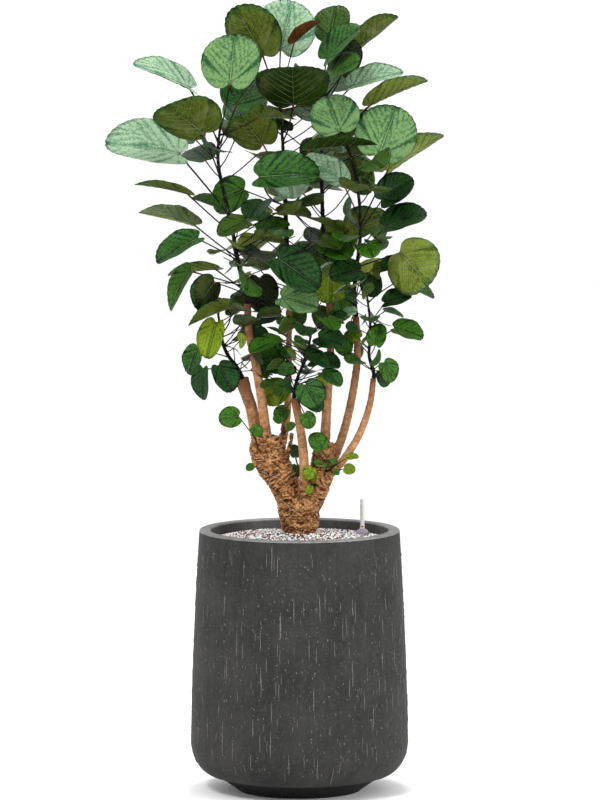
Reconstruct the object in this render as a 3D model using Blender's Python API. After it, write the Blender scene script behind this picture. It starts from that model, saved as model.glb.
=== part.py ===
"""Potted fabian aralia: a tapered pot, its mineral medium and water gauge, a forked trunk, seven stems
and the leafy shoot that grows on from each stem. Metres, +Z up, origin at the centre of the pot's foot."""

import math
import random
from dataclasses import dataclass

import bmesh
import bpy
from mathutils import Quaternion, Vector
from mathutils.bvhtree import BVHTree

CM = 0.01
GAP = 0.0003
SEED = 23

# Pot
POT_HEIGHT = 0.56
FOOT_RADIUS = 0.135
FOOT_TOP_RADIUS = 0.172
FOOT_HEIGHT = 0.030
SKIRT_RADIUS = 0.178
BELLY_RADIUS = 0.2325
BELLY_HEIGHT = 0.105
RIM_RADIUS = 0.214
RIM_INNER_RADIUS = 0.190
LIP_ROUND = 0.003
WALL = 0.024
FLOOR_THICKNESS = 0.045
FLOOR_SLOPE = 0.9
SIDE_BOW = 1.5
CREASE = 0.002
POT_SEGMENTS = 48

# Growing medium and water gauge
MEDIUM_LEVEL = 0.537
MEDIUM_CLEARANCE = 0.0018
MEDIUM_SIDE_HEIGHTS = (0.20, 0.30, 0.40, 0.47)
MOUND_LEVEL = 0.553
MOUND_RADIUS = 0.048
BENCH_LEVEL = 0.542
BENCH_HALF_WIDTH = 0.016
GAUGE_PLACE = Vector((0.1348, 0.055, 0.0))
GAUGE_TUBE_RADIUS = 0.0049
GAUGE_TUBE_TOP = 0.6185
GAUGE_TUBE_EDGE = 0.002
GAUGE_TUBE_NECK = 0.7
GAUGE_FOOT_RADIUS = 0.0141
GAUGE_FOOT_HEIGHT = 0.013
GAUGE_FOOT_EDGE = 0.002
GAUGE_DOME_ANGLES = (0, 25, 50, 68)
GAUGE_SEGMENTS = 16

# Twigs, petioles and blades
PETIOLE_SIDES = 3
PETIOLE_RATIO = 0.8
PETIOLE_SPREAD = 0.45
PETIOLE_LOWEST = 1.2
PETIOLE_LOWEST_GROWTH = 0.1
PETIOLE_HIGHEST = 0.3
PETIOLE_HIGHEST_GROWTH = 0.05
PETIOLE_RADIUS = 0.0017
PETIOLE_SUNK = 0.12
PETIOLE_SAG = 0.05
PETIOLE_THIN = 0.55
PETIOLE_GROWTH = 0.04
PETIOLE_TAPER = 0.15
SHOOT_SIDES = 6
SHOOT_STEP = 0.026
SHOOT_BUTT = 1.15
RING_STEP = 0.021
BLADE_MIDDLE = 0.47
BLADE_REACH = 0.53
NOTCH_DEPTH = 0.10
NOTCH_WIDTH = 0.35
MARGIN_RISE = 0.13
TIP_DROOP = 0.10
BLADE_THICKNESS = 0.026
RIM_ANGLES = (0, 38, 76, 114, 150, 180, 210, 246, 284, 322)
TIP_SPANS = (0, 1, 8, 9)
SIDE_ENDS = (2, 8)
TIP_SIDE = 0.68
BASE_SIDE = 0.30
WELD = 1e-6
TEST_SWELL = 1.05
TEST_THICKNESS = 0.045
TEST_PETIOLE = 1.8

# Rule of the leaves between the leading ones
GOLDEN_ANGLE = 137.5
SHOOT_SEED_STEP = 101
REACH_TAPER = 0.35
RISE = (0.35, 0.9)
SIZE_BY_HEIGHT = 0.35
HEADING_JITTER = 18.0
LIFT = (-32.0, 24.0)
LIFT_GAIN = 14.0
ROLL = 35.0
BREADTH = (0.86, 1.02)
SKY_SIDE = 0.3
SKY_TOP = 0.15


@dataclass
class Limb:
    """One tapering limb: points in centimetres along its axis, with a radius at each."""

    points: tuple
    radii: tuple
    sides: int = 8
    collar: float = 0.0
    knots: float = 0.0


@dataclass
class Leaf:
    """One blade, in centimetres and degrees. aim is the midrib's angle seen from the front, away is how far
    its tip leans back, and turn rolls the blade from showing its top (0) to showing its underside (180)."""

    x: float
    y: float
    z: float
    length: float
    width: float
    aim: float
    away: float = 0.0
    turn: float = 0.0


# Trunk with its two heads, each limb drawn up from inside the one that carries it
TRUNK = Limb(((0, 0, 53.8), (0, 0, 56.5), (0.1, 0, 58.5), (-0.2, 0, 61.0), (-0.3, 0, 63.0)),
             (3.55, 3.85, 4.25, 4.6, 3.0), sides=16, knots=0.035)
HEADS = {
    "stump_left": Limb(((-0.8, 0, 58.5), (-1.9, -0.1, 63.0), (-3.9, -0.3, 67.0), (-5.9, -0.3, 70.6),
                        (-6.9, -0.2, 73.6), (-6.8, -0.2, 76.2)),
                       (3.1, 3.2, 3.15, 3.75, 3.9, 2.6), sides=14, collar=8.2, knots=0.06),
    "stump_right": Limb(((0.8, 0, 59.0), (2.5, 0.2, 62.8), (4.1, 0.5, 66.6), (5.2, 0.6, 70.0),
                         (5.5, 0.5, 72.6), (5.3, 0.5, 74.3)),
                        (2.9, 2.9, 2.75, 2.7, 2.75, 1.9), sides=14, collar=6.0, knots=0.06),
}
STEMS = {
    "far_left": Limb(((-8.3, 1.1, 73.2), (-9.5, 1.3, 78.0), (-10.3, 1.0, 82.0), (-11.4, 0.6, 85.2),
                      (-12.3, 0.3, 88.3)), (1.45, 1.3, 1.27, 1.3, 1.5), collar=4.6),
    "left": Limb(((-6.6, -1.5, 73.2), (-7.4, -1.9, 79.0), (-8.2, -2.2, 85.2), (-9.7, -2.5, 93.6),
                  (-10.7, -2.8, 98.5), (-11.1, -3.0, 104.6)),
                 (1.2, 1.08, 1.0, 0.88, 0.84, 0.74), collar=5.0),
    "centre_left": Limb(((-4.3, 1.2, 72.6), (-3.0, 2.0, 77.9), (-2.5, 2.6, 83.0), (-2.3, 3.4, 92.0),
                         (-2.2, 4.6, 103.6)), (1.0, 0.86, 0.78, 0.66, 0.56), collar=5.6),
    "front": Limb(((0.8, -1.6, 61.6), (1.0, -4.1, 66.2), (0.9, -4.9, 72.0), (0.2, -4.9, 78.0),
                   (-1.0, -4.9, 84.6)), (1.2, 1.05, 1.0, 0.92, 0.86), collar=6.4),
    "centre_right": Limb(((5.2, 1.2, 71.0), (5.6, 1.9, 77.9), (6.2, 2.8, 88.0), (6.7, 4.0, 96.0),
                          (6.2, 5.2, 104.6)), (1.2, 1.05, 0.9, 0.76, 0.62), collar=5.2),
    "right": Limb(((6.2, 0.5, 69.3), (8.6, 0.9, 74.3), (10.6, 1.0, 81.3), (12.1, 0.8, 90.0),
                   (12.3, 0.5, 95.0), (12.0, 0.3, 101.6)), (1.05, 0.95, 0.88, 0.8, 0.76, 0.7), collar=4.2),
    "far_right": Limb(((5.0, -0.4, 67.4), (8.0, -1.8, 69.4), (12.4, -2.5, 76.0), (14.9, -2.6, 82.8),
                       (15.7, -2.6, 88.6)), (0.95, 0.86, 0.8, 0.7, 0.62), collar=4.6),
}
CARRIED_BY = {"far_left": "stump_left", "left": "stump_left", "centre_left": "stump_left", "front": "trunk",
              "centre_right": "stump_right", "right": "stump_right", "far_right": "stump_right"}
SPROUT_TWIGS = {
    "sprout_left": Limb(((-7.6, -2.6, 72.0), (-8.8, -4.6, 73.8), (-9.4, -5.6, 76.4)), (0.32, 0.24, 0.17),
                        sides=SHOOT_SIDES, collar=2.9),
    "sprout_right": Limb(((5.4, -1.4, 68.6), (6.4, -4.3, 69.3), (7.6, -5.8, 70.6)), (0.32, 0.24, 0.17),
                         sides=SHOOT_SIDES, collar=3.0),
}

# Shoots: each grows on from the top of its stem, so its points start above that top
SHOOTS = {
    "far_left": Limb(((-13.6, -0.3, 91.2), (-16.0, -1.0, 95.0), (-17.6, -1.3, 104.0)),
                     (0.5, 0.42, 0.36, 0.2)),
    "left": Limb(((-12.5, -3.2, 111.0), (-14.5, -3.2, 121.6), (-17.2, -3.0, 134.5), (-16.6, -3.0, 144.0)),
                 (0.56, 0.47, 0.42, 0.36, 0.22)),
    "centre_left": Limb(((-2.8, 5.0, 118.8), (-3.3, 4.4, 133.0), (-4.2, 3.4, 148.0)),
                        (0.54, 0.5, 0.38, 0.24)),
    "front": Limb(((-0.4, -5.0, 89.0), (1.6, -5.0, 94.0), (2.6, -4.6, 99.5)), (0.4, 0.34, 0.3, 0.2)),
    "centre_right": Limb(((5.2, 5.8, 117.5), (4.7, 5.6, 134.0), (5.6, 5.0, 149.0)), (0.56, 0.5, 0.38, 0.24)),
    "right": Limb(((11.7, 0.3, 108.0), (13.0, 0.2, 121.0), (11.7, 0.4, 132.6), (9.8, 0.8, 138.6)),
                  (0.46, 0.42, 0.36, 0.3, 0.2)),
    "far_right": Limb(((14.8, -2.9, 93.3), (15.0, -3.0, 100.2), (13.8, -2.8, 110.4)),
                      (0.42, 0.34, 0.28, 0.18)),
}

# Leading leaves of each shoot, as they stand to the viewer: they give the crown its outline
LEADING = {
    "left": (
        Leaf(-14.8, -6.5, 150.1, 12.4, 12.8, 85, 15, 10),
        Leaf(-21.8, -2.0, 149.5, 14.9, 12.0, 151, -15, 72),
        Leaf(-19.3, -8.5, 140.3, 14.6, 14.0, 138, -35, 150),
        Leaf(-23.5, -4.0, 136.0, 17.8, 14.5, 166, -10, 56),
        Leaf(-14.0, 0.5, 145.6, 11.0, 11.0, 54, 25, 30),
        Leaf(-22.3, -2.0, 127.4, 13.0, 10.5, 163, -5, 92),
        Leaf(-21.0, 3.0, 120.5, 13.7, 9.0, 162, 5, 75),
        Leaf(-20.4, -6.5, 119.3, 11.3, 8.5, 205, -10, 60),
        Leaf(-22.5, -3.0, 112.6, 11.1, 7.5, 238, 10, 60),
        Leaf(-16.5, 5.0, 111.3, 12.0, 9.0, 183, 15, 104),
        Leaf(-17.5, -4.5, 110.0, 8.0, 7.5, 232, -15, 150),
        Leaf(-10.6, -8.0, 122.6, 7.5, 7.0, 200, -20, 58),
        Leaf(-9.2, -5.5, 118.6, 7.5, 7.0, 0, -25, 118),
    ),
    "centre_left": (
        Leaf(-4.4, 3.0, 157.0, 12.5, 13.0, 76, 15, 0),
        Leaf(-7.1, -1.6, 155.9, 13.3, 12.0, 118, 3, 158),
        Leaf(-1.2, -6.5, 145.9, 16.0, 15.5, 92, -48, 180),
        Leaf(-1.8, -4.5, 159.4, 8.3, 6.0, 45, -10, 112),
        Leaf(-7.1, -0.5, 137.5, 11.3, 10.5, 128, -30, 160),
        Leaf(-9.9, -9.5, 131.7, 14.3, 11.5, 8, -12, 50),
        Leaf(-5.6, -11.5, 115.6, 12.0, 9.5, -33, -5, 30),
        Leaf(-4.7, -7.2, 106.4, 9.0, 10.5, -10, -12, 60),
        Leaf(-8.6, 1.4, 110.6, 8.2, 7.4, -84, 4, 168),
        Leaf(-6.0, 9.5, 122.5, 8.0, 7.5, 190, 20, 70),
        Leaf(0.4, -9.6, 137.4, 16.0, 7.5, 10, -4, 98),
        Leaf(-0.4, 7.6, 103.8, 5.0, 4.8, -92, 5, 20),
        Leaf(-3.8, 7.0, 102.0, 5.8, 5.2, 195, 5, 45),
    ),
    "centre_right": (
        Leaf(6.5, 8.0, 159.6, 9.0, 8.5, 82, 25, 20),
        Leaf(4.8, -1.0, 155.5, 11.3, 9.5, 48, -10, 60),
        Leaf(12.2, 5.5, 158.1, 11.3, 9.0, 45, -5, 118),
        Leaf(8.8, 2.4, 152.2, 8.6, 7.6, 74, 2, 160),
        Leaf(9.6, -2.2, 150.2, 12.8, 9.0, 20, -6, 64),
        Leaf(13.6, 5.5, 145.5, 14.9, 10.0, 29, 4, 110),
        Leaf(8.8, -4.6, 140.4, 9.0, 10.8, 110, 6, 12),
        Leaf(8.2, 9.5, 113.2, 9.0, 8.6, 92, 20, 15),
        Leaf(6.6, 1.5, 112.0, 8.2, 8.0, -88, 10, 20),
        Leaf(8.2, 8.4, 105.8, 6.2, 6.0, -76, 5, 20),
        Leaf(3.4, 8.0, 102.8, 5.2, 5.0, -60, 5, 30),
    ),
    "right": (
        Leaf(16.4, -2.6, 135.1, 12.3, 13.4, 70, 8, 10),
        Leaf(17.4, 4.0, 131.5, 15.7, 11.0, 37, 3, 120),
        Leaf(10.2, -2.4, 129.8, 11.6, 7.6, 148, 2, 44),
        Leaf(16.7, -1.4, 125.9, 9.0, 8.5, 38, -6, 45),
        Leaf(17.0, -3.5, 120.6, 10.5, 10.0, 22, -10, 62),
        Leaf(20.3, -6.0, 116.5, 12.0, 12.5, -44, -28, 172),
        Leaf(13.6, -5.5, 112.0, 7.6, 7.6, 188, -20, 50),
        Leaf(9.3, -4.5, 119.6, 8.6, 7.0, 150, -10, 105),
        Leaf(15.6, 1.4, 110.9, 5.4, 5.2, -94, 0, 20),
        Leaf(9.8, -1.8, 98.0, 4.8, 4.6, -96, 0, 25),
    ),
    "far_right": (
        Leaf(19.7, -0.6, 109.6, 9.8, 7.0, -19, 0, 74),
        Leaf(19.4, -3.0, 99.5, 7.2, 6.5, -12, -5, 58),
        Leaf(17.4, -3.8, 104.6, 6.6, 6.2, 20, -10, 60),
        Leaf(17.6, -4.0, 92.6, 5.2, 5.0, -60, 5, 30),
        Leaf(16.0, -6.4, 95.6, 5.2, 5.0, 78, 5, 30),
        Leaf(17.0, -0.4, 90.4, 4.2, 4.0, -64, 5, 30),
        Leaf(17.6, 0.4, 102.8, 4.8, 3.8, -12, 5, 78),
    ),
    "far_left": (
        Leaf(-17.4, -4.5, 101.6, 8.8, 6.2, 253, -10, 25),
        Leaf(-21.4, 0.5, 95.4, 6.8, 5.6, 248, 5, 40),
        Leaf(-20.4, -3.0, 91.6, 7.6, 5.6, 266, 0, 45),
        Leaf(-17.6, -5.0, 92.2, 7.0, 6.4, -58, -10, 35),
        Leaf(-13.2, -5.5, 104.5, 11.4, 8.6, 196, -12, 108),
    ),
    "front": (
        Leaf(1.0, -8.2, 88.4, 6.0, 6.6, -60, -18, 15),
        Leaf(4.3, -7.6, 90.6, 5.6, 5.6, -28, -20, 62),
        Leaf(3.4, -8.0, 98.0, 6.4, 6.4, -10, -30, 50),
        Leaf(-3.4, -7.5, 97.4, 8.2, 7.2, 195, -25, 70),
        Leaf(0.9, -9.2, 94.6, 6.0, 5.6, -24, -10, 60),
        Leaf(-1.0, -8.6, 91.4, 3.8, 3.6, 184, -10, 40),
        Leaf(-2.4, 0.6, 86.6, 6.4, 6.2, 206, 10, 20),
        Leaf(-3.0, 0.8, 93.4, 6.6, 6.4, 188, 10, 25),
        Leaf(1.4, -6.8, 84.6, 4.2, 4.0, -28, -10, 30),
        Leaf(0.9, -8.2, 82.0, 3.8, 3.6, -64, -10, 20),
        Leaf(-2.6, -0.6, 82.2, 3.8, 3.6, 228, 0, 25),
    ),
    "sprout_left": (
        Leaf(-12.4, -6.4, 81.0, 4.8, 4.8, 188, -10, 20),
        Leaf(-10.4, -6.8, 78.6, 3.0, 2.8, -30, -10, 30),
    ),
    "sprout_right": (
        Leaf(9.6, -6.6, 72.0, 3.0, 2.6, 10, -10, 60),
        Leaf(5.0, -7.0, 73.5, 4.6, 4.2, 120, 10, 25),
        Leaf(2.9, -6.6, 70.2, 3.2, 3.0, 240, -10, 20),
    ),
}


@dataclass
class Spread:
    """How a shoot fills itself between its leading leaves, in centimetres and degrees."""

    tries: int
    first_bearing: float
    reach: tuple
    blade: tuple


FILLING = {
    "left": Spread(70, 40.0, (5.0, 15.0), (6.5, 11.0)),
    "centre_left": Spread(95, 110.0, (5.0, 16.0), (6.5, 12.0)),
    "centre_right": Spread(95, 75.0, (5.0, 17.0), (6.5, 12.0)),
    "right": Spread(70, 10.0, (5.0, 14.0), (6.0, 10.5)),
    "far_left": Spread(40, 150.0, (3.0, 9.0), (5.0, 7.5)),
    "front": Spread(34, 230.0, (2.5, 8.0), (4.5, 6.5)),
    "far_right": Spread(40, 30.0, (3.0, 8.0), (4.5, 7.0)),
}

# Windows of sky between the stems and beside the crown, as centre and half sizes seen from the front
SKY = (
    (-20.0, 131.5, 4.5, 2.6),
    (-10.5, 128.6, 2.6, 4.4),
    (-24.5, 118.0, 4.0, 3.0),
    (0.5, 108.0, 3.2, 5.0),
    (1.5, 119.5, 2.2, 3.0),
    (8.0, 105.0, 2.6, 2.6),
    (19.5, 104.5, 4.0, 2.6),
    (22.0, 123.0, 3.5, 5.0),
    (10.5, 124.0, 2.2, 3.0),
    (-26.0, 104.0, 4.0, 6.0),
)
CROWN_CENTRE = (0.0, 1.5, 127.0)
CROWN_HALF = (30.0, 29.0, 41.0)


def clear_scene():
    """Take the objects of a new file away."""
    for item in list(bpy.data.objects):
        bpy.data.objects.remove(item, do_unlink=True)


def material(name, colour, roughness, metallic=0.0):
    """A Principled material."""
    made = bpy.data.materials.new(name)
    made.use_nodes = True
    shader = made.node_tree.nodes["Principled BSDF"]
    shader.inputs["Base Color"].default_value = (*colour, 1.0)
    shader.inputs["Roughness"].default_value = roughness
    shader.inputs["Metallic"].default_value = metallic
    return made


def place(name, bm, finish, smooth_angle=40.0):
    """Turn a bmesh into a named, smoothly shaded object with one material."""
    bmesh.ops.recalc_face_normals(bm, faces=bm.faces)
    mesh = bpy.data.meshes.new(name)
    bm.to_mesh(mesh)
    bm.free()
    mesh.shade_smooth()
    mesh.set_sharp_from_angle(angle=math.radians(smooth_angle))
    mesh.materials.append(finish)
    made = bpy.data.objects.new(name, mesh)
    bpy.context.scene.collection.objects.link(made)
    return made


def turned(profile, segments, centre=(0.0, 0.0)):
    """Spin a closed or axis-to-axis profile of (radius, height) pairs about a vertical axis."""
    bm = bmesh.new()
    rings = []
    for radius, height in profile:
        if radius == 0.0:
            rings.append([bm.verts.new((centre[0], centre[1], height))])
            continue
        ring = []
        for step in range(segments):
            angle = 2 * math.pi * step / segments
            ring.append(bm.verts.new((centre[0] + radius * math.cos(angle),
                                      centre[1] + radius * math.sin(angle), height)))
        rings.append(ring)
    for low, high in zip(rings, rings[1:]):
        for step in range(segments):
            following = (step + 1) % segments
            corners = [low[step % len(low)], low[following % len(low)],
                       high[following % len(high)], high[step % len(high)]]
            bm.faces.new(list(dict.fromkeys(corners)))
    return bm


def arc(centre, radius, start, end, steps):
    """Points of a profile's round edge, in (radius, height)."""
    points = []
    for step in range(steps + 1):
        angle = math.radians(start + (end - start) * step / steps)
        points.append((centre[0] + radius * math.cos(angle), centre[1] + radius * math.sin(angle)))
    return points


def side_radius(height):
    """Outer radius of the pot's side above its belly: a slightly bowed taper up to the rim."""
    share = (height - BELLY_HEIGHT) / (POT_HEIGHT - BELLY_HEIGHT)
    return BELLY_RADIUS + (RIM_RADIUS - BELLY_RADIUS) * share ** SIDE_BOW


def inner_radius(height):
    """Inner radius of the pot: its side less the wall, and round at the bottom."""
    if height >= BELLY_HEIGHT:
        return min(RIM_INNER_RADIUS, side_radius(height) - WALL)
    return BELLY_RADIUS - WALL - FLOOR_SLOPE * (BELLY_HEIGHT - height)


def pot_profile():
    """Half section of the pot, from the axis under its foot to the axis on its inner floor."""
    belly_steps = 5
    side_heights = [BELLY_HEIGHT + (POT_HEIGHT - BELLY_HEIGHT) * share for share in (0.2, 0.4, 0.6, 0.8)]
    outline = [(0.0, 0.0), (FOOT_RADIUS, 0.0), (FOOT_TOP_RADIUS, FOOT_HEIGHT)]
    for step in range(belly_steps + 1):
        angle = math.radians(-90 + 90 * step / belly_steps)
        outline.append((SKIRT_RADIUS + (BELLY_RADIUS - SKIRT_RADIUS) * math.cos(angle),
                        BELLY_HEIGHT + (BELLY_HEIGHT - FOOT_HEIGHT - CREASE) * math.sin(angle)))
    outline += [(side_radius(height), height) for height in side_heights]
    outline += arc((RIM_RADIUS - LIP_ROUND, POT_HEIGHT - LIP_ROUND), LIP_ROUND, 0, 90, 2)
    outline += arc((RIM_INNER_RADIUS + LIP_ROUND, POT_HEIGHT - LIP_ROUND), LIP_ROUND, 90, 180, 2)
    outline += [(inner_radius(height), height) for height in reversed(side_heights[:-1])]
    outline += [(inner_radius(BELLY_HEIGHT), BELLY_HEIGHT),
                (inner_radius(FLOOR_THICKNESS), FLOOR_THICKNESS), (0.0, FLOOR_THICKNESS)]
    return outline


def medium_profile():
    """Half section of the medium: clear of the pot, heaped round the trunk, level under the gauge."""
    heights = [FLOOR_THICKNESS, BELLY_HEIGHT, *MEDIUM_SIDE_HEIGHTS]
    bench = GAUGE_PLACE.length
    outline = [(0.0, FLOOR_THICKNESS + GAP)]
    outline += [(inner_radius(height) - MEDIUM_CLEARANCE, height + GAP) for height in heights]
    outline += [(RIM_INNER_RADIUS - MEDIUM_CLEARANCE, MEDIUM_LEVEL), (bench + BENCH_HALF_WIDTH, BENCH_LEVEL),
                (bench - BENCH_HALF_WIDTH, BENCH_LEVEL), (MOUND_RADIUS, MOUND_LEVEL), (0.0, MOUND_LEVEL)]
    return outline


def smooth_path(points, values, step):
    """Read a smooth curve through the points every step or so, with the values that go with them."""
    first = 2 * points[0] - points[1]
    last = 2 * points[-1] - points[-2]
    ends = [first, *points, last]
    levels = [2 * values[0] - values[1], *values, 2 * values[-1] - values[-2]]
    path, sizes = [], []
    for index in range(1, len(ends) - 2):
        a, b, c, d = ends[index - 1:index + 3]
        span = max(1, round((c - b).length / step))
        for part in range(span):
            t = part / span
            path.append(0.5 * (2 * b + (c - a) * t + (2 * a - 5 * b + 4 * c - d) * t * t
                               + (3 * b - a - 3 * c + d) * t ** 3))
            sizes.append(levels[index] + (levels[index + 1] - levels[index]) * t)
    return path + [points[-1]], sizes + [values[-1]]


def tangents(path):
    """Unit direction of a path at each of its points."""
    ways = [(path[1] - path[0]).normalized()]
    ways += [(after - before).normalized() for before, after in zip(path, path[2:])]
    return ways + [(path[-1] - path[-2]).normalized()]


def rings_along(path, radii, sides, knots=0.0, seed=0):
    """Rings of points square to a path, without twist, and knobbly where knots says how much."""
    dice = random.Random(SEED + seed)
    ways = tangents(path)
    across = ways[0].orthogonal().normalized()
    rings = []
    for centre, way, radius in zip(path, ways, radii):
        across = (across - way * across.dot(way)).normalized()
        over = way.cross(across)
        ring = []
        for side in range(sides):
            angle = 2 * math.pi * side / sides
            reach = radius * (1 + dice.uniform(-knots, knots))
            ring.append(centre + reach * (across * math.cos(angle) + over * math.sin(angle)))
        rings.append(ring)
    return rings


def tube(rings):
    """Closed tube through rings of equal count, as (vertices, faces)."""
    sides = len(rings[0])
    points = [point for ring in rings for point in ring]
    faces = [tuple(reversed(range(sides))), tuple(range(len(points) - sides, len(points)))]
    for row in range(len(rings) - 1):
        for side in range(sides):
            following = (side + 1) % sides
            low = row * sides
            faces.append((low + side, low + following, low + sides + following, low + sides + side))
    return points, faces


def limb_rings(limb, seed):
    """Axis of a limb in metres, and the rings round it."""
    points = [Vector(point) * CM for point in limb.points]
    radii = [radius * CM for radius in limb.radii]
    path, sizes = smooth_path(points, radii, min(RING_STEP, max(radii) * 2))
    return path, rings_along(path, sizes, limb.sides, limb.knots, seed)


def split_limb(limb, seed):
    """Cut a limb across at its collar: the lower piece joins its carrier, the upper starts a gap above."""
    path, rings = limb_rings(limb, seed)
    run = 0.0
    cut = 1
    for index in range(1, len(path) - 1):
        run += (path[index] - path[index - 1]).length
        cut = index
        if run >= limb.collar * CM:
            break
    way = tangents(path)[cut]
    middle = path[cut]
    flat = [point - way * (point - middle).dot(way) for point in rings[cut]]
    lower = rings[:cut] + [flat]
    upper = [[point + way * GAP for point in flat]] + rings[cut + 1:]
    return tube(lower), tube(upper), path[cut:]


def shoot_of(stem_path, shoot, top_radius):
    """The path and rings of a shoot that grows on from the tip of its stem, a gap above it."""
    way = (stem_path[-1] - stem_path[-2]).normalized()
    start = stem_path[-1] + way * GAP
    points = [start, start + way * CM] + [Vector(point) * CM for point in shoot.points]
    radii = [shoot.radii[0] * CM] + [radius * CM for radius in shoot.radii]
    radii[0] = min(radii[0] * SHOOT_BUTT, top_radius)
    path, sizes = smooth_path(points, radii, SHOOT_STEP)
    return path, rings_along(path, sizes, SHOOT_SIDES)


def frame_of(leaf):
    """Base, midrib, side and top normal of a blade."""
    aim, away, turn = (math.radians(angle) for angle in (leaf.aim, leaf.away, leaf.turn))
    midrib = Vector((math.cos(away) * math.cos(aim), math.sin(away), math.cos(away) * math.sin(aim)))
    front = Vector((0.0, -1.0, 0.0)) + math.sin(away) * midrib
    front.normalize()
    skyward = midrib.cross(front)
    if skyward.z < -1e-6:
        skyward.negate()
    normal = front * math.cos(turn) + skyward * math.sin(turn)
    return Vector((leaf.x, leaf.y, leaf.z)) * CM, midrib, normal.cross(midrib), normal


def outline_point(leaf, angle, swell=1.0):
    """A point of the blade's near-round outline, in (along, across), notched where the petiole joins."""
    turn = math.radians(angle)
    notch = NOTCH_DEPTH * math.exp(-((math.pi - turn) / NOTCH_WIDTH) ** 2)
    along = BLADE_MIDDLE + swell * (BLADE_REACH * math.cos(turn) + notch)
    return along * leaf.length * CM, swell * 0.5 * leaf.width * CM * math.sin(turn)


def relief(leaf, along, across):
    """Height of the blade above its flat plane: margins raised, tip drooping."""
    length = leaf.length * CM
    half = 0.5 * leaf.width * CM
    return length * (MARGIN_RISE * (across / half) ** 2 - TIP_DROOP * (along / length) ** 2)


def blade(leaf, swell=1.0, thickness=BLADE_THICKNESS):
    """Lens-shaped blade as (vertices, faces): a rim, and two points of the midrib above and below."""
    base, midrib, side, normal = frame_of(leaf)

    def at(along, across, lift):
        return base + midrib * along + side * across + normal * (relief(leaf, along, across) + lift)

    rim = [at(*outline_point(leaf, angle, swell), 0.0) for angle in RIM_ANGLES]
    half = 0.5 * thickness * leaf.length * CM
    ribs = [at(share * leaf.length * CM, 0.0, lift)
            for lift in (half, -half) for share in (TIP_SIDE, BASE_SIDE)]
    count = len(rim)
    faces = []
    for layer in (0, 2):
        near_tip = count + layer
        near_base = near_tip + 1
        for index in range(count):
            following = (index + 1) % count
            towards = near_tip if index in TIP_SPANS else near_base
            corners = (index, following, towards)
            faces.append(corners if layer == 0 else corners[::-1])
        for corners in ((SIDE_ENDS[0], near_tip, near_base), (SIDE_ENDS[1], near_base, near_tip)):
            faces.append(corners if layer else corners[::-1])
    return rim + ribs, faces


def at_height(path, height):
    """The point of a rising path at a height, or its nearer end."""
    for low, high in zip(path, path[1:]):
        if low.z <= height <= high.z:
            return low.lerp(high, (height - low.z) / (high.z - low.z))
    return path[0] if height < path[0].z else path[-1]


def petiole_path(leaf, shoot_path):
    """From the shoot up to the blade's base, sunk a little way under the midrib."""
    base, midrib, _, _ = frame_of(leaf)
    nearest = at_height(shoot_path, base.z)
    aside = (Vector((base.x, base.y)) - Vector((nearest.x, nearest.y))).length
    least = PETIOLE_RATIO * leaf.length * CM
    drop = max(PETIOLE_SPREAD * aside, math.sqrt(max(0.0, least ** 2 - aside ** 2)))
    lowest = shoot_path[0].z + (PETIOLE_LOWEST + PETIOLE_LOWEST_GROWTH * leaf.length) * CM
    highest = shoot_path[-1].z - (PETIOLE_HIGHEST + PETIOLE_HIGHEST_GROWTH * leaf.length) * CM
    start = at_height(shoot_path, min(highest, max(lowest, base.z - drop)))
    middle = (start + base) / 2 - Vector((0.0, 0.0, PETIOLE_SAG * (base - start).length))
    return [start, middle, base + midrib * PETIOLE_SUNK * leaf.length * CM]


def petiole(leaf, shoot_path, swell=1.0):
    """Slim tapering stalk of a leaf, thicker for a larger leaf."""
    path = petiole_path(leaf, shoot_path)
    thick = PETIOLE_RADIUS * swell * (PETIOLE_THIN + PETIOLE_GROWTH * leaf.length)
    radii = [thick * (1 + PETIOLE_TAPER), thick, thick * (1 - PETIOLE_TAPER)]
    return tube(rings_along(path, radii, PETIOLE_SIDES))


class Space:
    """What has been placed so far, to keep leaves clear of limbs and of each other."""

    def __init__(self):
        self.items = []

    @staticmethod
    def box(points):
        low = Vector([min(point[axis] for point in points) for axis in range(3)])
        high = Vector([max(point[axis] for point in points) for axis in range(3)])
        return low, high

    def add(self, group, kind, solid):
        points, faces = solid
        self.items.append((group, kind, self.box(points), BVHTree.FromPolygons(points, faces)))

    def meets(self, group, solid, own_kinds):
        """Whether a solid touches anything of another group, or of its own group in the given kinds."""
        points, faces = solid
        low, high = self.box(points)
        tree = BVHTree.FromPolygons(points, faces)
        for owner, kind, (other_low, other_high), other in self.items:
            if owner == group and kind not in own_kinds:
                continue
            if any(low[axis] > other_high[axis] or high[axis] < other_low[axis] for axis in range(3)):
                continue
            if tree.overlap(other):
                return True
        return False


def grow_leaf(space, group, leaf, shoot_path):
    """Accept a leaf if its blade and petiole stay clear, and give its two solids back."""
    wide_blade = blade(leaf, TEST_SWELL, TEST_THICKNESS)
    wide_petiole = petiole(leaf, shoot_path, TEST_PETIOLE)
    if space.meets(group, wide_blade, ("blade", "shoot", "petiole")):
        return None
    if space.meets(group, wide_petiole, ("blade",)):
        return None
    made = (blade(leaf), petiole(leaf, shoot_path))
    space.add(group, "blade", wide_blade)
    space.add(group, "petiole", wide_petiole)
    return made


def in_crown(point):
    """Whether a point lies in the crown's rounded space."""
    return sum(((point[axis] / CM - CROWN_CENTRE[axis]) / CROWN_HALF[axis]) ** 2 for axis in range(3)) <= 1.0


def hides_sky(leaf):
    """Whether the blade's middle falls in a window that stays open from the front."""
    base, midrib, _, _ = frame_of(leaf)
    middle = (base + midrib * 0.5 * leaf.length * CM) / CM
    aside, above = SKY_SIDE * leaf.length, SKY_TOP * leaf.length
    return any(abs(middle.x - x) < wide + aside and abs(middle.z - z) < tall + above
               for x, z, wide, tall in SKY)


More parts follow.
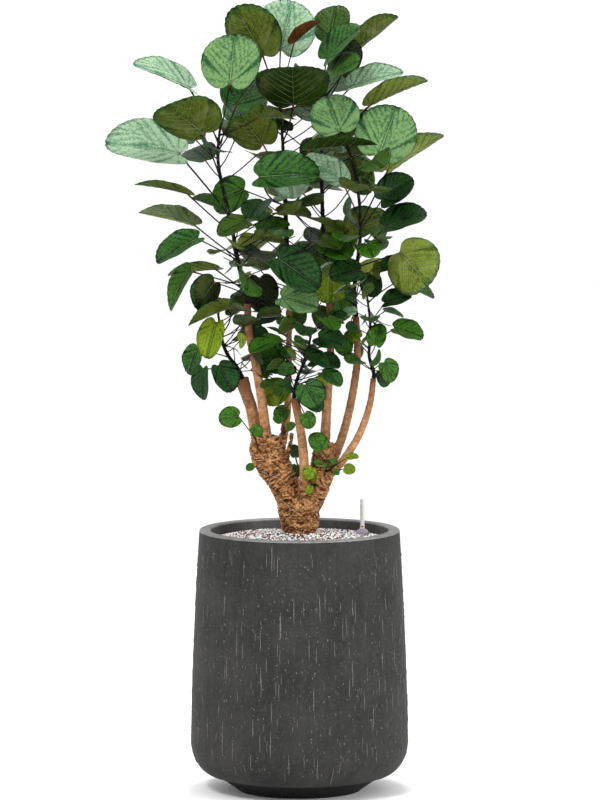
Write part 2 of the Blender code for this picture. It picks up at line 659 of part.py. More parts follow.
def filling_leaf(dice, spread, shoot_path, turn_number, bearing):
    """One leaf of the rule: leaves follow each other round the shoot by the golden angle."""
    share = (turn_number + 0.5) / spread.tries
    node = at_height(shoot_path, shoot_path[0].z + share * (shoot_path[-1].z - shoot_path[0].z))
    reach = spread.reach[0] + (spread.reach[1] - spread.reach[0]) * dice.random() * (1 - REACH_TAPER * share)
    rise = dice.uniform(*RISE) * reach
    size = SIZE_BY_HEIGHT * share + (1 - SIZE_BY_HEIGHT) * dice.random()
    length = spread.blade[0] + (spread.blade[1] - spread.blade[0]) * size
    heading = math.radians(bearing + dice.uniform(-HEADING_JITTER, HEADING_JITTER))
    lift = math.radians(dice.uniform(*LIFT) + LIFT_GAIN * share)
    midrib = Vector((math.cos(lift) * math.cos(heading), math.cos(lift) * math.sin(heading), math.sin(lift)))
    roll = math.radians(dice.uniform(-ROLL, ROLL))
    level = Vector((-math.sin(heading), math.cos(heading), 0.0))
    normal = Quaternion(midrib, roll) @ midrib.cross(level)
    aim = math.degrees(math.atan2(midrib.z, midrib.x))
    away = math.degrees(math.asin(midrib.y))
    front = (Vector((0.0, -1.0, 0.0)) + midrib.y * midrib).normalized()
    turn = math.degrees(math.acos(max(-1.0, min(1.0, front.dot(normal)))))
    return Leaf(node.x / CM + reach * math.cos(heading), node.y / CM + reach * math.sin(heading),
                node.z / CM + rise, length, length * dice.uniform(*BREADTH), aim, away, turn)


def grow_crown(space, shoot_paths):
    """Leading leaves first, shoot by shoot, then the leaves of the rule between them."""
    grown = {name: [] for name in shoot_paths}
    for name, path in shoot_paths.items():
        for leaf in LEADING[name]:
            made = grow_leaf(space, name, leaf, path)
            if made:
                grown[name].append(made)
    for order, (name, spread) in enumerate(FILLING.items()):
        dice = random.Random(SEED * SHOOT_SEED_STEP + order)
        path = shoot_paths[name]
        for number in range(spread.tries):
            leaf = filling_leaf(dice, spread, path, number, spread.first_bearing + GOLDEN_ANGLE * number)
            tip = frame_of(leaf)[0] + frame_of(leaf)[1] * leaf.length * CM
            if not in_crown(tip) or hides_sky(leaf):
                continue
            made = grow_leaf(space, name, leaf, path)
            if made:
                grown[name].append(made)
    return grown


def loose(name, solid, holder):
    """A working object in a collection, for a union."""
    mesh = bpy.data.meshes.new(name)
    mesh.from_pydata([tuple(point) for point in solid[0]], [], solid[1])
    bm = bmesh.new()
    bm.from_mesh(mesh)
    bmesh.ops.recalc_face_normals(bm, faces=bm.faces)
    bm.to_mesh(mesh)
    bm.free()
    made = bpy.data.objects.new(name, mesh)
    holder.objects.link(made)
    return made


def islands(bm):
    """Groups of faces that hang together."""
    waiting = set(bm.faces)
    groups = []
    while waiting:
        group = [waiting.pop()]
        for face in group:
            for edge in face.edges:
                for other in edge.link_faces:
                    if other in waiting:
                        waiting.remove(other)
                        group.append(other)
        groups.append(group)
    return groups


def signed_volume(faces):
    """Volume under a group of faces."""
    total = 0.0
    for face in faces:
        corners = [vertex.co for vertex in face.verts]
        for second, third in zip(corners[1:], corners[2:]):
            total += corners[0].dot(second.cross(third)) / 6
    return total


def plain_solid(solid):
    """A solid's vertices and faces as a bmesh."""
    bm = bmesh.new()
    points = [bm.verts.new(point) for point in solid[0]]
    for corners in solid[1]:
        bm.faces.new([points[corner] for corner in corners])
    return bm


def joined_mesh(name, body, pieces, solver):
    """Join the pieces to the body by one Boolean and keep its one outer skin, without loose scraps."""
    holder = bpy.data.collections.new(name + "_pieces")
    bpy.context.scene.collection.children.link(holder)
    base = loose(name + "_body", body, bpy.context.scene.collection)
    for number, piece in enumerate(pieces):
        loose(f"{name}_piece_{number}", piece, holder)
    joining = base.modifiers.new("join", "BOOLEAN")
    joining.operation = "UNION"
    joining.operand_type = "COLLECTION"
    joining.collection = holder
    joining.solver = solver
    joining.use_self = solver == "EXACT"
    whole = bpy.data.meshes.new_from_object(base.evaluated_get(bpy.context.evaluated_depsgraph_get()))
    for item in [base, *holder.objects]:
        bpy.data.objects.remove(item, do_unlink=True)
    bpy.data.collections.remove(holder)
    bm = bmesh.new()
    bm.from_mesh(whole)
    bpy.data.meshes.remove(whole)
    bmesh.ops.triangulate(bm, faces=bm.faces)
    if not is_closed(bm):
        bmesh.ops.remove_doubles(bm, verts=bm.verts, dist=WELD)
    groups = sorted(islands(bm), key=lambda group: abs(signed_volume(group)), reverse=True)
    scraps = [face for group in groups[1:] for face in group]
    bmesh.ops.delete(bm, geom=scraps, context="FACES")
    bmesh.ops.delete(bm, geom=[vertex for vertex in bm.verts if not vertex.link_faces], context="VERTS")
    return bm


def is_closed(bm):
    """Whether two faces meet at every edge."""
    return bool(bm.faces) and all(len(edge.link_faces) == 2 for edge in bm.edges)


def union(name, body, pieces, finish):
    """Place a body with its pieces fused on. Where both solvers fail, the last piece is left off."""
    while pieces:
        for solver in ("EXACT", "MANIFOLD"):
            bm = joined_mesh(name, body, pieces, solver)
            if is_closed(bm):
                return place(name, bm, finish)
            bm.free()
        pieces = pieces[:-2]
    return place(name, plain_solid(body), finish)


def build_pot():
    """The pot and the medium that fills it."""
    place("pot", turned(pot_profile(), POT_SEGMENTS), material("pot_charcoal", (0.05, 0.05, 0.048), 0.75))
    place("growing_medium", turned(medium_profile(), POT_SEGMENTS),
          material("mineral_granules", (0.42, 0.39, 0.38), 0.9))


def build_gauge():
    """The water gauge's domed foot and its tube."""
    centre = (GAUGE_PLACE.x, GAUGE_PLACE.y)
    floor = BENCH_LEVEL + GAP
    swell = GAUGE_FOOT_HEIGHT - GAUGE_FOOT_EDGE
    dome = [(GAUGE_FOOT_RADIUS * math.cos(math.radians(angle)),
             floor + GAUGE_FOOT_EDGE + swell * math.sin(math.radians(angle)))
            for angle in GAUGE_DOME_ANGLES]
    foot = [(0.0, floor), (GAUGE_FOOT_RADIUS, floor), *dome, (0.0, dome[-1][1])]
    place("water_gauge_foot", turned(foot, GAUGE_SEGMENTS, centre),
          material("gauge_cap", (0.30, 0.28, 0.33), 0.5))
    low = dome[-1][1] + GAP
    stem = [(0.0, low), (GAUGE_TUBE_RADIUS, low), (GAUGE_TUBE_RADIUS, GAUGE_TUBE_TOP - GAUGE_TUBE_EDGE),
            (GAUGE_TUBE_RADIUS * GAUGE_TUBE_NECK, GAUGE_TUBE_TOP), (0.0, GAUGE_TUBE_TOP)]
    place("water_gauge_tube", turned(stem, GAUGE_SEGMENTS, centre),
          material("gauge_clear", (0.78, 0.79, 0.80), 0.15))


def build_plant():
    """Wood first, then the shoots and the leaves that grow on it."""
    bark = material("bark", (0.45, 0.28, 0.16), 0.9)
    green = material("leaf_green", (0.10, 0.30, 0.12), 0.45)
    space = Space()
    _, trunk_rings = limb_rings(TRUNK, 0)
    for point in trunk_rings[0]:
        point.z = MOUND_LEVEL + GAP
    bodies = {"trunk": tube(trunk_rings)}
    joined = {"trunk": []}
    solids = {}
    paths = {}
    for seed, (name, limb) in enumerate(HEADS.items(), start=1):
        lower, upper, _ = split_limb(limb, seed)
        joined["trunk"].append(lower)
        bodies[name] = upper
        joined[name] = []
    for seed, (name, limb) in enumerate(STEMS.items(), start=11):
        lower, upper, path = split_limb(limb, seed)
        joined[CARRIED_BY[name]].append(lower)
        solids["stem_" + name] = upper
        paths[name] = path
    twigs = {}
    for seed, (name, limb) in enumerate(SPROUT_TWIGS.items(), start=31):
        lower, upper, path = split_limb(limb, seed)
        joined["stump_left" if name == "sprout_left" else "stump_right"].append(lower)
        twigs[name] = (path, upper)
    for name, body in bodies.items():
        space.add(name, "limb", body)
        for piece in joined[name]:
            space.add(name, "limb", piece)
        union(name, body, joined[name], bark)
    for name, body in solids.items():
        space.add(name, "limb", body)
        union(name, body, [], bark)
    shoot_paths, shoot_bodies = {}, {}
    for name, shoot in SHOOTS.items():
        path, rings = shoot_of(paths[name], shoot, STEMS[name].radii[-1] * CM)
        shoot_paths[name] = path
        shoot_bodies[name] = tube(rings)
    for name, (path, body) in twigs.items():
        shoot_paths[name] = path
        shoot_bodies[name] = body
    for name, body in shoot_bodies.items():
        space.add(name, "shoot", body)
    for name, leaves in grow_crown(space, shoot_paths).items():
        pieces = [piece for leaf in leaves for piece in leaf]
        node = name if name.startswith("sprout") else "foliage_" + name
        union(node, shoot_bodies[name], pieces, green)


def main():
    """Build everything."""
    clear_scene()
    build_pot()
    build_gauge()
    build_plant()


main()
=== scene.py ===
"""Looks of the potted fabian aralia: planter, mineral granules, water gauge, barked wood and crown."""

import logging
import math
import random
from dataclasses import dataclass, field, replace
from enum import Enum
from typing import NamedTuple

import bmesh
import bpy
import numpy as np
from mathutils import Matrix, Quaternion, Vector, noise
from mathutils.bvhtree import BVHTree
from mathutils.kdtree import KDTree


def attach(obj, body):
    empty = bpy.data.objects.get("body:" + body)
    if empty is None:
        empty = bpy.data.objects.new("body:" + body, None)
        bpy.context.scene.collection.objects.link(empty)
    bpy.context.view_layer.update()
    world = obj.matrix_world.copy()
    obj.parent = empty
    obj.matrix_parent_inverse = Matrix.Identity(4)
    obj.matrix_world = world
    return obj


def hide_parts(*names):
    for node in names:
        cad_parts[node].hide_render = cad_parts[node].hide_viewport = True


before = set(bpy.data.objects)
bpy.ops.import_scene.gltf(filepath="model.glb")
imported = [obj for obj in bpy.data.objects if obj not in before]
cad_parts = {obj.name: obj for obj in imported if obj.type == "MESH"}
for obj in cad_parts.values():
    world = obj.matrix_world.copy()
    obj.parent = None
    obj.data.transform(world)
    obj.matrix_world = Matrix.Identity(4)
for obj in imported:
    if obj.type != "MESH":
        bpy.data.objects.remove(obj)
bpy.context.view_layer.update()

log = logging.getLogger("aralia")
CM = 0.01
MM = 0.001
SEED = 23
SHOOT_SEED_STEP = 101
FINER_SEED_STEP = 211
FIBRE_SEED_STEP = 17
BODY = "root"

Colour = tuple[float, float, float]
Point = tuple[float, float, float]
Solid = tuple[list[Vector], list[tuple[int, ...]]]


class Sheet:
    """A material or geometry node tree under construction."""

    def __init__(self, tree: bpy.types.NodeTree) -> None:
        """Keep the tree that nodes are added to."""
        self.tree = tree

    def add(self, kind: str, sockets: dict | None = None, **settings) -> bpy.types.Node:
        """Add one node.

        Args:
            kind: Blender's name of the node type.
            sockets: input values or linked outputs, by input name or number.
            settings: properties of the node itself.

        Returns:
            The new node.
        """
        node = self.tree.nodes.new(kind)
        for name, value in settings.items():
            setattr(node, name, value)
        for key, value in (sockets or {}).items():
            if isinstance(value, bpy.types.NodeSocket):
                self.tree.links.new(value, node.inputs[key])
            else:
                node.inputs[key].default_value = value
        return node

    def link(self, output: bpy.types.NodeSocket, target: bpy.types.NodeSocket) -> None:
        """Join an output to an input."""
        self.tree.links.new(output, target)

    def ramp(self, factor: bpy.types.NodeSocket, stops: list[tuple[float, Colour]]) -> bpy.types.NodeSocket:
        """Colour ramp over a factor.

        Args:
            factor: what runs along the ramp.
            stops: position and colour of each stop, in order.

        Returns:
            The ramp's colour output.
        """
        node = self.add("ShaderNodeValToRGB", {"Fac": factor})
        elements = node.color_ramp.elements
        while len(elements) < len(stops):
            elements.new(0.5)
        for element, (position, colour) in zip(elements, stops):
            element.position = position
            element.color = (*colour, 1.0)
        return node.outputs["Color"]

    def noise(self, where: bpy.types.NodeSocket, scale: float, detail: float = 3.0,
              roughness: float = 0.55) -> bpy.types.NodeSocket:
        """Factor of fractal noise over coordinates."""
        sockets = {"Vector": where, "Scale": scale, "Detail": detail, "Roughness": roughness}
        return self.add("ShaderNodeTexNoise", sockets).outputs["Fac"]

    def mix(self, factor: bpy.types.NodeSocket | float, low: object, high: object,
            blend: str = "MIX") -> bpy.types.NodeSocket:
        """Mix two colours.

        Args:
            factor: share of the second colour.
            low: first colour or output.
            high: second colour or output.
            blend: Blender's blend type.

        Returns:
            The mixed colour output.
        """
        node = self.add("ShaderNodeMix", data_type="RGBA", blend_type=blend)
        for socket, value in zip((node.inputs[0], node.inputs[6], node.inputs[7]), (factor, low, high)):
            if isinstance(value, bpy.types.NodeSocket):
                self.tree.links.new(value, socket)
            elif isinstance(value, tuple):
                socket.default_value = (*value, 1.0)
            else:
                socket.default_value = value
        return node.outputs[2]

    def maths(self, operation: str, first: object, second: object = 0.0,
              clamp: bool = False) -> bpy.types.NodeSocket:
        """Value of one Math node, kept between 0 and 1 where clamp is set."""
        sockets = {0: first, 1: second}
        return self.add("ShaderNodeMath", sockets, operation=operation, use_clamp=clamp).outputs[0]

    def vector_maths(self, operation: str, first: object, second: object) -> bpy.types.NodeSocket:
        """Vector of one Vector Math node."""
        return self.add("ShaderNodeVectorMath", {0: first, 1: second}, operation=operation).outputs[0]

    def compare(self, operation: str, first: object, second: object) -> bpy.types.NodeSocket:
        """Whether one number stands to another as the operation says."""
        node = self.add("FunctionNodeCompare", {0: first, 1: second}, data_type="FLOAT", operation=operation)
        return node.outputs["Result"]

    def stored(self, name: str) -> bpy.types.NodeSocket:
        """Number stored on the geometry, read by a geometry tree."""
        node = self.add("GeometryNodeInputNamedAttribute", {"Name": name}, data_type="FLOAT")
        return node.outputs["Attribute"]

    def painted(self, name: str) -> bpy.types.NodeSocket:
        """Number stored on the geometry, read by a material."""
        return self.add("ShaderNodeAttribute", attribute_name=name).outputs["Fac"]

    def dressed(self, geometry: bpy.types.NodeSocket, finish: object) -> bpy.types.NodeSocket:
        """Geometry with its instances realized and its material set."""
        real = self.add("GeometryNodeRealizeInstances", {"Geometry": geometry}).outputs["Geometry"]
        return self.add("GeometryNodeSetMaterial", {"Geometry": real, "Material": finish}).outputs["Geometry"]

    def weighed(self, *parts: tuple[bpy.types.NodeSocket, float]) -> bpy.types.NodeSocket:
        """Weighted sum of outputs.

        Args:
            parts: each output with its weight.

        Returns:
            The sum.
        """
        total = self.maths("MULTIPLY", *parts[0])
        for output, weight in parts[1:]:
            sockets = {0: output, 1: weight, 2: total}
            total = self.add("ShaderNodeMath", sockets, operation="MULTIPLY_ADD").outputs[0]
        return total


@dataclass(frozen=True)
class Finish:
    """Base of every finish: a Principled material with a name."""

    name: str

    def start(self, roughness: float, **fixed: object) -> tuple[bpy.types.Material, Sheet, bpy.types.Node]:
        """New material with its shader's constants set.

        Args:
            roughness: roughness of the surface.
            fixed: other Principled inputs, with spaces written as underscores.

        Returns:
            The material, its sheet of nodes and its shader.
        """
        material = bpy.data.materials.new(self.name)
        material.use_nodes = True
        sheet = Sheet(material.node_tree)
        shader = material.node_tree.nodes["Principled BSDF"]
        shader.inputs["Roughness"].default_value = roughness
        for key, value in fixed.items():
            shader.inputs[key.replace("_", " ")].default_value = value
        return material, sheet, shader

    @staticmethod
    def place(sheet: Sheet, scale: Point = (1.0, 1.0, 1.0)) -> bpy.types.NodeSocket:
        """Object coordinates, stretched along each axis."""
        where = sheet.add("ShaderNodeTexCoord").outputs["Object"]
        return sheet.add("ShaderNodeMapping", {"Vector": where, "Scale": scale}).outputs["Vector"]

    @staticmethod
    def bump(sheet: Sheet, shader: bpy.types.Node, height: bpy.types.NodeSocket, strength: float,
             distance: float) -> None:
        """Give the shader a bumpy surface, its depth in metres."""
        node = sheet.add("ShaderNodeBump", {"Height": height, "Strength": strength, "Distance": distance})
        sheet.link(node.outputs["Normal"], shader.inputs["Normal"])


@dataclass(frozen=True)
class StoneFinish(Finish):
    """Cast mineral surface of the planter: two mottled tones, with faint streaks down its side."""

    dark: Colour
    pale: Colour
    roughness: float = 0.72
    grain: float = 420.0

    def build(self) -> bpy.types.Material:
        """Make the material."""
        material, sheet, shader = self.start(self.roughness, Specular_IOR_Level=0.2)
        where = self.place(sheet)
        clouds = sheet.noise(where, 9.0, 5.0, 0.6)
        streaks = sheet.noise(self.place(sheet, (70.0, 70.0, 4.0)), 1.0, 3.0)
        grain = sheet.noise(where, self.grain, 2.0)
        mottle = sheet.noise(where, 130.0, 4.0, 0.7)
        tone = sheet.weighed((clouds, 0.42), (streaks, 0.18), (mottle, 0.40))
        colour = sheet.ramp(tone, [(0.38, self.dark), (0.62, self.pale)])
        sheet.link(colour, shader.inputs["Base Color"])
        height = sheet.maths("ADD", grain, sheet.maths("MULTIPLY", streaks, 1.5))
        self.bump(sheet, shader, height, 0.35, 0.6 * MM)
        return material


@dataclass(frozen=True)
class PebbleFinish(Finish):
    """One tint of the mineral granules."""

    tint: Colour

    def build(self) -> bpy.types.Material:
        """Make the material."""
        material, sheet, shader = self.start(0.85)
        speck = sheet.noise(self.place(sheet), 380.0, 2.0)
        shade = tuple(0.72 * part for part in self.tint)
        sheet.link(sheet.ramp(speck, [(0.35, shade), (0.65, self.tint)]), shader.inputs["Base Color"])
        self.bump(sheet, shader, speck, 0.4, 0.4 * MM)
        return material


@dataclass(frozen=True)
class BarkFinish(Finish):
    """Tan bark: dark in its cracks and paler on its ridges, partly its own tones and partly painted shade in
    the cracks and painted highlight on the ridges, redder towards the young ends of the stems.
    """

    crack_shade: Colour = (0.030, 0.010, 0.004)
    middle: Colour = (0.19, 0.078, 0.024)
    ridge_highlight: Colour = (0.52, 0.27, 0.108)
    scar: Colour = (0.085, 0.034, 0.013)
    smooth: Colour = (0.29, 0.135, 0.058)
    pale: Colour = (0.47, 0.255, 0.125)
    young: Colour = (0.125, 0.040, 0.016)

    def build(self) -> bpy.types.Material:
        """Make the material."""
        material, sheet, shader = self.start(0.82, Specular_IOR_Level=0.2)
        where = self.place(sheet)
        relief, age, youth = (sheet.painted(name) for name in ("relief", "age", "youth"))
        fine = sheet.noise(where, 160.0, 4.0, 0.65)
        wrinkles = sheet.noise(self.place(sheet, (60.0, 60.0, 260.0)), 1.0, 4.0, 0.6)
        broad = sheet.noise(where, 55.0, 3.0, 0.6)
        # Old wood: the relief lays painted shade in the cracks and painted highlight on the ridges over the
        # bark's own tones.
        old = sheet.ramp(sheet.weighed((relief, 0.66), (fine, 0.34)),
                         [(0.29, self.crack_shade), (0.48, self.middle), (0.68, self.ridge_highlight)])
        dotted = sheet.ramp(sheet.weighed((fine, 0.45), (wrinkles, 0.20), (broad, 0.35)),
                            [(0.36, self.scar), (0.47, self.smooth), (0.64, self.pale)])
        stems = sheet.mix(youth, dotted, self.young)
        sheet.link(sheet.mix(age, stems, old), shader.inputs["Base Color"])
        self.bump(sheet, shader, sheet.weighed((fine, 0.5), (wrinkles, 0.5)), 0.9, 1.6 * MM)
        return material


@dataclass(frozen=True)
class TwigFinish(Finish):
    """Shoots and petioles: nearly black with pale flecks, turning orange-brown towards each blade."""

    dark: Colour = (0.0035, 0.004, 0.0035)
    fleck: Colour = (0.12, 0.11, 0.07)
    ripe: Colour = (0.20, 0.060, 0.012)

    def build(self) -> bpy.types.Material:
        """Make the material."""
        material, sheet, shader = self.start(0.55, Specular_IOR_Level=0.06)
        speck = sheet.noise(self.place(sheet, (1.0, 1.0, 0.6)), 300.0, 3.0, 0.7)
        skin = sheet.ramp(speck, [(0.58, self.dark), (0.68, self.fleck)])
        sheet.link(sheet.mix(sheet.painted("ripe"), skin, self.ripe), shader.inputs["Base Color"])
        self.bump(sheet, shader, speck, 0.4, 0.5 * MM)
        return material


@dataclass(frozen=True)
class LeafFinish(Finish):
    """One face of a blade: quilted between its veins, with a soft shine; its colour is pale with painted
    highlight where the tissue swells and dark with painted shade in the grooves.
    """

    # Swollen tissue is pale with painted highlight; tissue in the grooves is dark with painted shade.
    raised: Colour
    sunken_shade: Colour
    roughness: float = 0.42
    shine: float = 0.09
    relief: float = 0.6
    mesh_scale: float = 120.0
    # Pale colour of painted sheen patches, if any.
    painted_sheen: Colour | None = None

    def build(self) -> bpy.types.Material:
        """Make the material."""
        material, sheet, shader = self.start(self.roughness, Specular_IOR_Level=self.shine)
        where = self.place(sheet)
        quilt = sheet.painted("quilt")
        fine = sheet.noise(where, 260.0, 3.0, 0.6)
        broad = sheet.noise(where, 34.0, 3.0, 0.6)
        cells = sheet.add("ShaderNodeTexVoronoi", {"Vector": where, "Scale": self.mesh_scale},
                          feature="DISTANCE_TO_EDGE").outputs["Distance"]
        tissue = sheet.maths("MULTIPLY", cells, 3.2, clamp=True)
        # Painted light: swollen tissue, cell middles and broad patches get painted highlight, grooves along
        # the veins and their network get painted shade.
        tone = sheet.weighed((quilt, 0.36), (tissue, 0.18), (fine, 0.12), (broad, 0.34))
        skin = sheet.ramp(tone, [(0.30, self.sunken_shade), (0.45, self.middle()), (0.60, self.raised)])
        # Painted sheen: pale patches laid over the colour by noise.
        if self.painted_sheen:
            over_half = sheet.maths("SUBTRACT", sheet.noise(where, 16.0, 4.0, 0.65), 0.50)
            skin = sheet.mix(sheet.maths("MULTIPLY", over_half, 5.0, clamp=True), skin, self.painted_sheen)
        sheet.link(skin, shader.inputs["Base Color"])
        self.bump(sheet, shader, sheet.weighed((tissue, 0.6), (fine, 0.4)), self.relief, 1.4 * MM)
        return material

    def middle(self) -> Colour:
        """Tone between the tissue in the grooves, dark with painted shade, and the swollen tissue, pale with
        painted highlight.
        """
        return blended(self.sunken_shade, self.raised, 0.38)


@dataclass(frozen=True)
class PlainFinish(Finish):
    """A plain tone with a little grain, for veins, drips and marks."""

    tone: Colour
    roughness: float = 0.5
    spread: float = 0.18

    def build(self) -> bpy.types.Material:
        """Make the material."""
        material, sheet, shader = self.start(self.roughness)
        speck = sheet.noise(self.place(sheet), 300.0, 2.0)
        low = tuple(part * (1 - self.spread) for part in self.tone)
        high = tuple(min(1.0, part * (1 + self.spread)) for part in self.tone)
        sheet.link(sheet.ramp(speck, [(0.35, low), (0.65, high)]), shader.inputs["Base Color"])
        return material


@dataclass(frozen=True)
class ClearFinish(Finish):
    """Clear plastic of the gauge's tube."""

    def build(self) -> bpy.types.Material:
        """Make the material."""
        material, sheet, shader = self.start(0.16, Transmission_Weight=0.55, IOR=1.30)
        dust = sheet.noise(self.place(sheet), 500.0, 2.0)
        sheet.link(sheet.ramp(dust, [(0.4, (0.86, 0.87, 0.88)), (0.7, (0.97, 0.97, 0.98))]),
                   shader.inputs["Base Color"])
        return material


def blended(low: Colour, high: Colour, share: float) -> Colour:
    """Colour a share of the way from one to another."""
    return tuple((1 - share) * first + share * second for first, second in zip(low, high))


class LeafLook(NamedTuple):
    """Colours of one kind of leaf: top and underside where the tissue swells, pale with painted highlight,
    and the same faces in the grooves, dark with painted shade.
    """

    top: Colour
    groove_shade: Colour
    under: Colour
    hollow_shade: Colour
    roughness: float


class LeafKind(Enum):
    """Kinds of leaf in the crown, by colour."""

    # These pale blue-green tops are partly painted reflection of the white sky on glossy leaves.
    PALE = LeafLook((0.265, 0.385, 0.245), (0.040, 0.135, 0.070),
                    (0.060, 0.085, 0.015), (0.02, 0.034, 0.005), 0.42)
    BRIGHT = LeafLook((0.135, 0.25, 0.090), (0.014, 0.072, 0.020),
                      (0.060, 0.095, 0.010), (0.02, 0.042, 0.003), 0.40)
    TEAL = LeafLook((0.030, 0.098, 0.017), (0.001, 0.015, 0.002),
                    (0.040, 0.062, 0.010), (0.012, 0.024, 0.003), 0.38)
    GREEN = LeafLook((0.040, 0.12, 0.010), (0.002, 0.024, 0.001),
                     (0.050, 0.076, 0.009), (0.015, 0.030, 0.002), 0.40)
    # These dark colours are partly painted shade, darkened for leaves deep in the crown's shade.
    DARK = LeafLook((0.014, 0.052, 0.011), (0.0006, 0.006, 0.0008),
                    (0.022, 0.038, 0.004), (0.005, 0.010, 0.001), 0.38)
    OLIVE = LeafLook((0.036, 0.082, 0.009), (0.005, 0.020, 0.001),
                     (0.062, 0.086, 0.008), (0.016, 0.028, 0.002), 0.46)
    SAGE = LeafLook((0.10, 0.15, 0.045), (0.025, 0.052, 0.008),
                    (0.125, 0.170, 0.022), (0.040, 0.064, 0.005), 0.46)
    YOUNG = LeafLook((0.155, 0.22, 0.010), (0.040, 0.085, 0.002),
                     (0.15, 0.20, 0.008), (0.06, 0.105, 0.003), 0.40)
    MOSS = LeafLook((0.012, 0.033, 0.002), (0.002, 0.009, 0.0004),
                    (0.011, 0.027, 0.0006), (0.003, 0.009, 0.0003), 0.5)
    RUST = LeafLook((0.080, 0.026, 0.008), (0.03, 0.008, 0.003),
                    (0.080, 0.024, 0.007), (0.025, 0.007, 0.002), 0.5)
    # These near-black colours are painted shade for leaves deep inside the crown.
    NIGHT = LeafLook((0.010, 0.020, 0.005), (0.002, 0.005, 0.001),
                     (0.013, 0.018, 0.005), (0.003, 0.004, 0.001), 0.5)


# Pale sage of the painted sheen patches on leaf undersides.
PAINTED_SHEEN = (0.34, 0.38, 0.17)
RIB = (0.46, 0.50, 0.20)


@dataclass(frozen=True)
class Limb:
    """One tapering limb: points in centimetres along its axis, with a radius at each."""

    points: tuple[Point, ...]
    radii: tuple[float, ...]
    collar: float = 0.0


@dataclass(frozen=True)
class Leaf:
    """One blade, in centimetres and degrees.

    aim is the midrib's angle seen from the front, away is how far its tip leans back, and turn rolls the
    blade from showing its top (0) to showing its underside (180).
    """

    x: float
    y: float
    z: float
    length: float
    width: float
    aim: float
    away: float = 0.0
    turn: float = 0.0
    kind: LeafKind = LeafKind.GREEN


TRUNK = Limb(((0, 0, 55.4), (0, 0, 56.5), (0.1, 0, 58.5), (-0.2, 0, 61.0), (-0.3, 0, 63.0)),
             (3.55, 3.85, 4.25, 4.6, 3.0))
HEADS = {
    "stump_left": Limb(((-0.8, 0, 58.5), (-1.9, -0.1, 63.0), (-3.9, -0.3, 67.0), (-5.9, -0.3, 70.6),
                        (-6.9, -0.2, 73.6), (-6.8, -0.2, 76.2)), (3.1, 3.2, 3.15, 3.75, 3.9, 2.6), 8.2),
    "stump_right": Limb(((0.8, 0, 59.0), (2.5, 0.2, 62.8), (4.1, 0.5, 66.6), (5.2, 0.6, 70.0),
                         (5.5, 0.5, 72.6), (5.3, 0.5, 74.3)), (2.9, 2.9, 2.75, 2.7, 2.75, 1.9), 6.0),
}
STEMS = {
    "far_left": Limb(((-8.3, 1.1, 73.2), (-9.5, 1.3, 78.0), (-10.3, 1.0, 82.0), (-11.4, 0.6, 85.2),
                      (-12.3, 0.3, 88.3)), (1.45, 1.3, 1.27, 1.3, 1.5), 4.6),
    "left": Limb(((-6.6, -1.5, 73.2), (-7.4, -1.9, 79.0), (-8.2, -2.2, 85.2), (-9.7, -2.5, 93.6),
                  (-10.7, -2.8, 98.5), (-11.1, -3.0, 104.6)), (1.2, 1.08, 1.0, 0.88, 0.84, 0.74), 5.0),
    "centre_left": Limb(((-4.3, 1.2, 72.6), (-3.0, 2.0, 77.9), (-2.5, 2.6, 83.0), (-2.3, 3.4, 92.0),
                         (-2.2, 4.6, 103.6)), (1.0, 0.86, 0.78, 0.66, 0.56), 5.6),
    "front": Limb(((0.8, -1.6, 61.6), (1.0, -4.1, 66.2), (0.9, -4.9, 72.0), (0.2, -4.9, 78.0),
                   (-1.0, -4.9, 84.6)), (1.2, 1.05, 1.0, 0.92, 0.86), 6.4),
    "centre_right": Limb(((5.2, 1.2, 71.0), (5.6, 1.9, 77.9), (6.2, 2.8, 88.0), (6.7, 4.0, 96.0),
                          (6.2, 5.2, 104.6)), (1.2, 1.05, 0.9, 0.76, 0.62), 5.2),
    "right": Limb(((6.2, 0.5, 69.3), (8.6, 0.9, 74.3), (10.6, 1.0, 81.3), (12.1, 0.8, 90.0),
                   (12.3, 0.5, 95.0), (12.0, 0.3, 101.6)), (1.05, 0.95, 0.88, 0.8, 0.76, 0.7), 4.2),
    "far_right": Limb(((5.0, -0.4, 67.4), (8.0, -1.8, 69.4), (12.4, -2.5, 76.0), (14.9, -2.6, 82.8),
                       (15.7, -2.6, 88.6)), (0.95, 0.86, 0.8, 0.7, 0.62), 4.6),
}
SPROUT_TWIGS = {
    "sprout_left": Limb(((-7.6, -2.6, 72.0), (-8.8, -4.6, 73.8), (-9.4, -5.6, 76.4)),
                        (0.32, 0.24, 0.17), 2.9),
    "sprout_right": Limb(((5.4, -1.4, 68.6), (6.4, -4.3, 69.3), (7.6, -5.8, 70.6)),
                         (0.32, 0.24, 0.17), 3.0),
}
SPRIG_TWIGS = {
    "sprig_front": Limb(((2.2, -2.0, 64.4), (2.5, -4.4, 65.4), (2.9, -5.0, 66.8)), (0.15, 0.12, 0.08)),
    "sprig_right": Limb(((5.2, -1.8, 67.6), (5.6, -4.2, 69.2), (6.1, -4.7, 70.8)), (0.16, 0.12, 0.08)),
    "sprig_back": Limb(((0.4, 1.2, 66.0), (-0.2, 0.0, 69.0), (-0.8, -0.8, 71.8)), (0.16, 0.12, 0.08)),
    "sprig_left": Limb(((-7.4, -1.8, 68.6), (-8.6, -3.8, 69.2), (-9.2, -4.4, 70.2)), (0.15, 0.11, 0.08)),
    "sprig_stem": Limb(((-3.6, -0.6, 75.4), (-3.3, -2.4, 77.4), (-3.2, -2.8, 79.2)), (0.15, 0.11, 0.08)),
}
STUB = Limb(((-2.6, -1.2, 71.2), (-2.2, -1.6, 73.8), (-1.6, -1.9, 76.8)), (0.55, 0.48, 0.42))

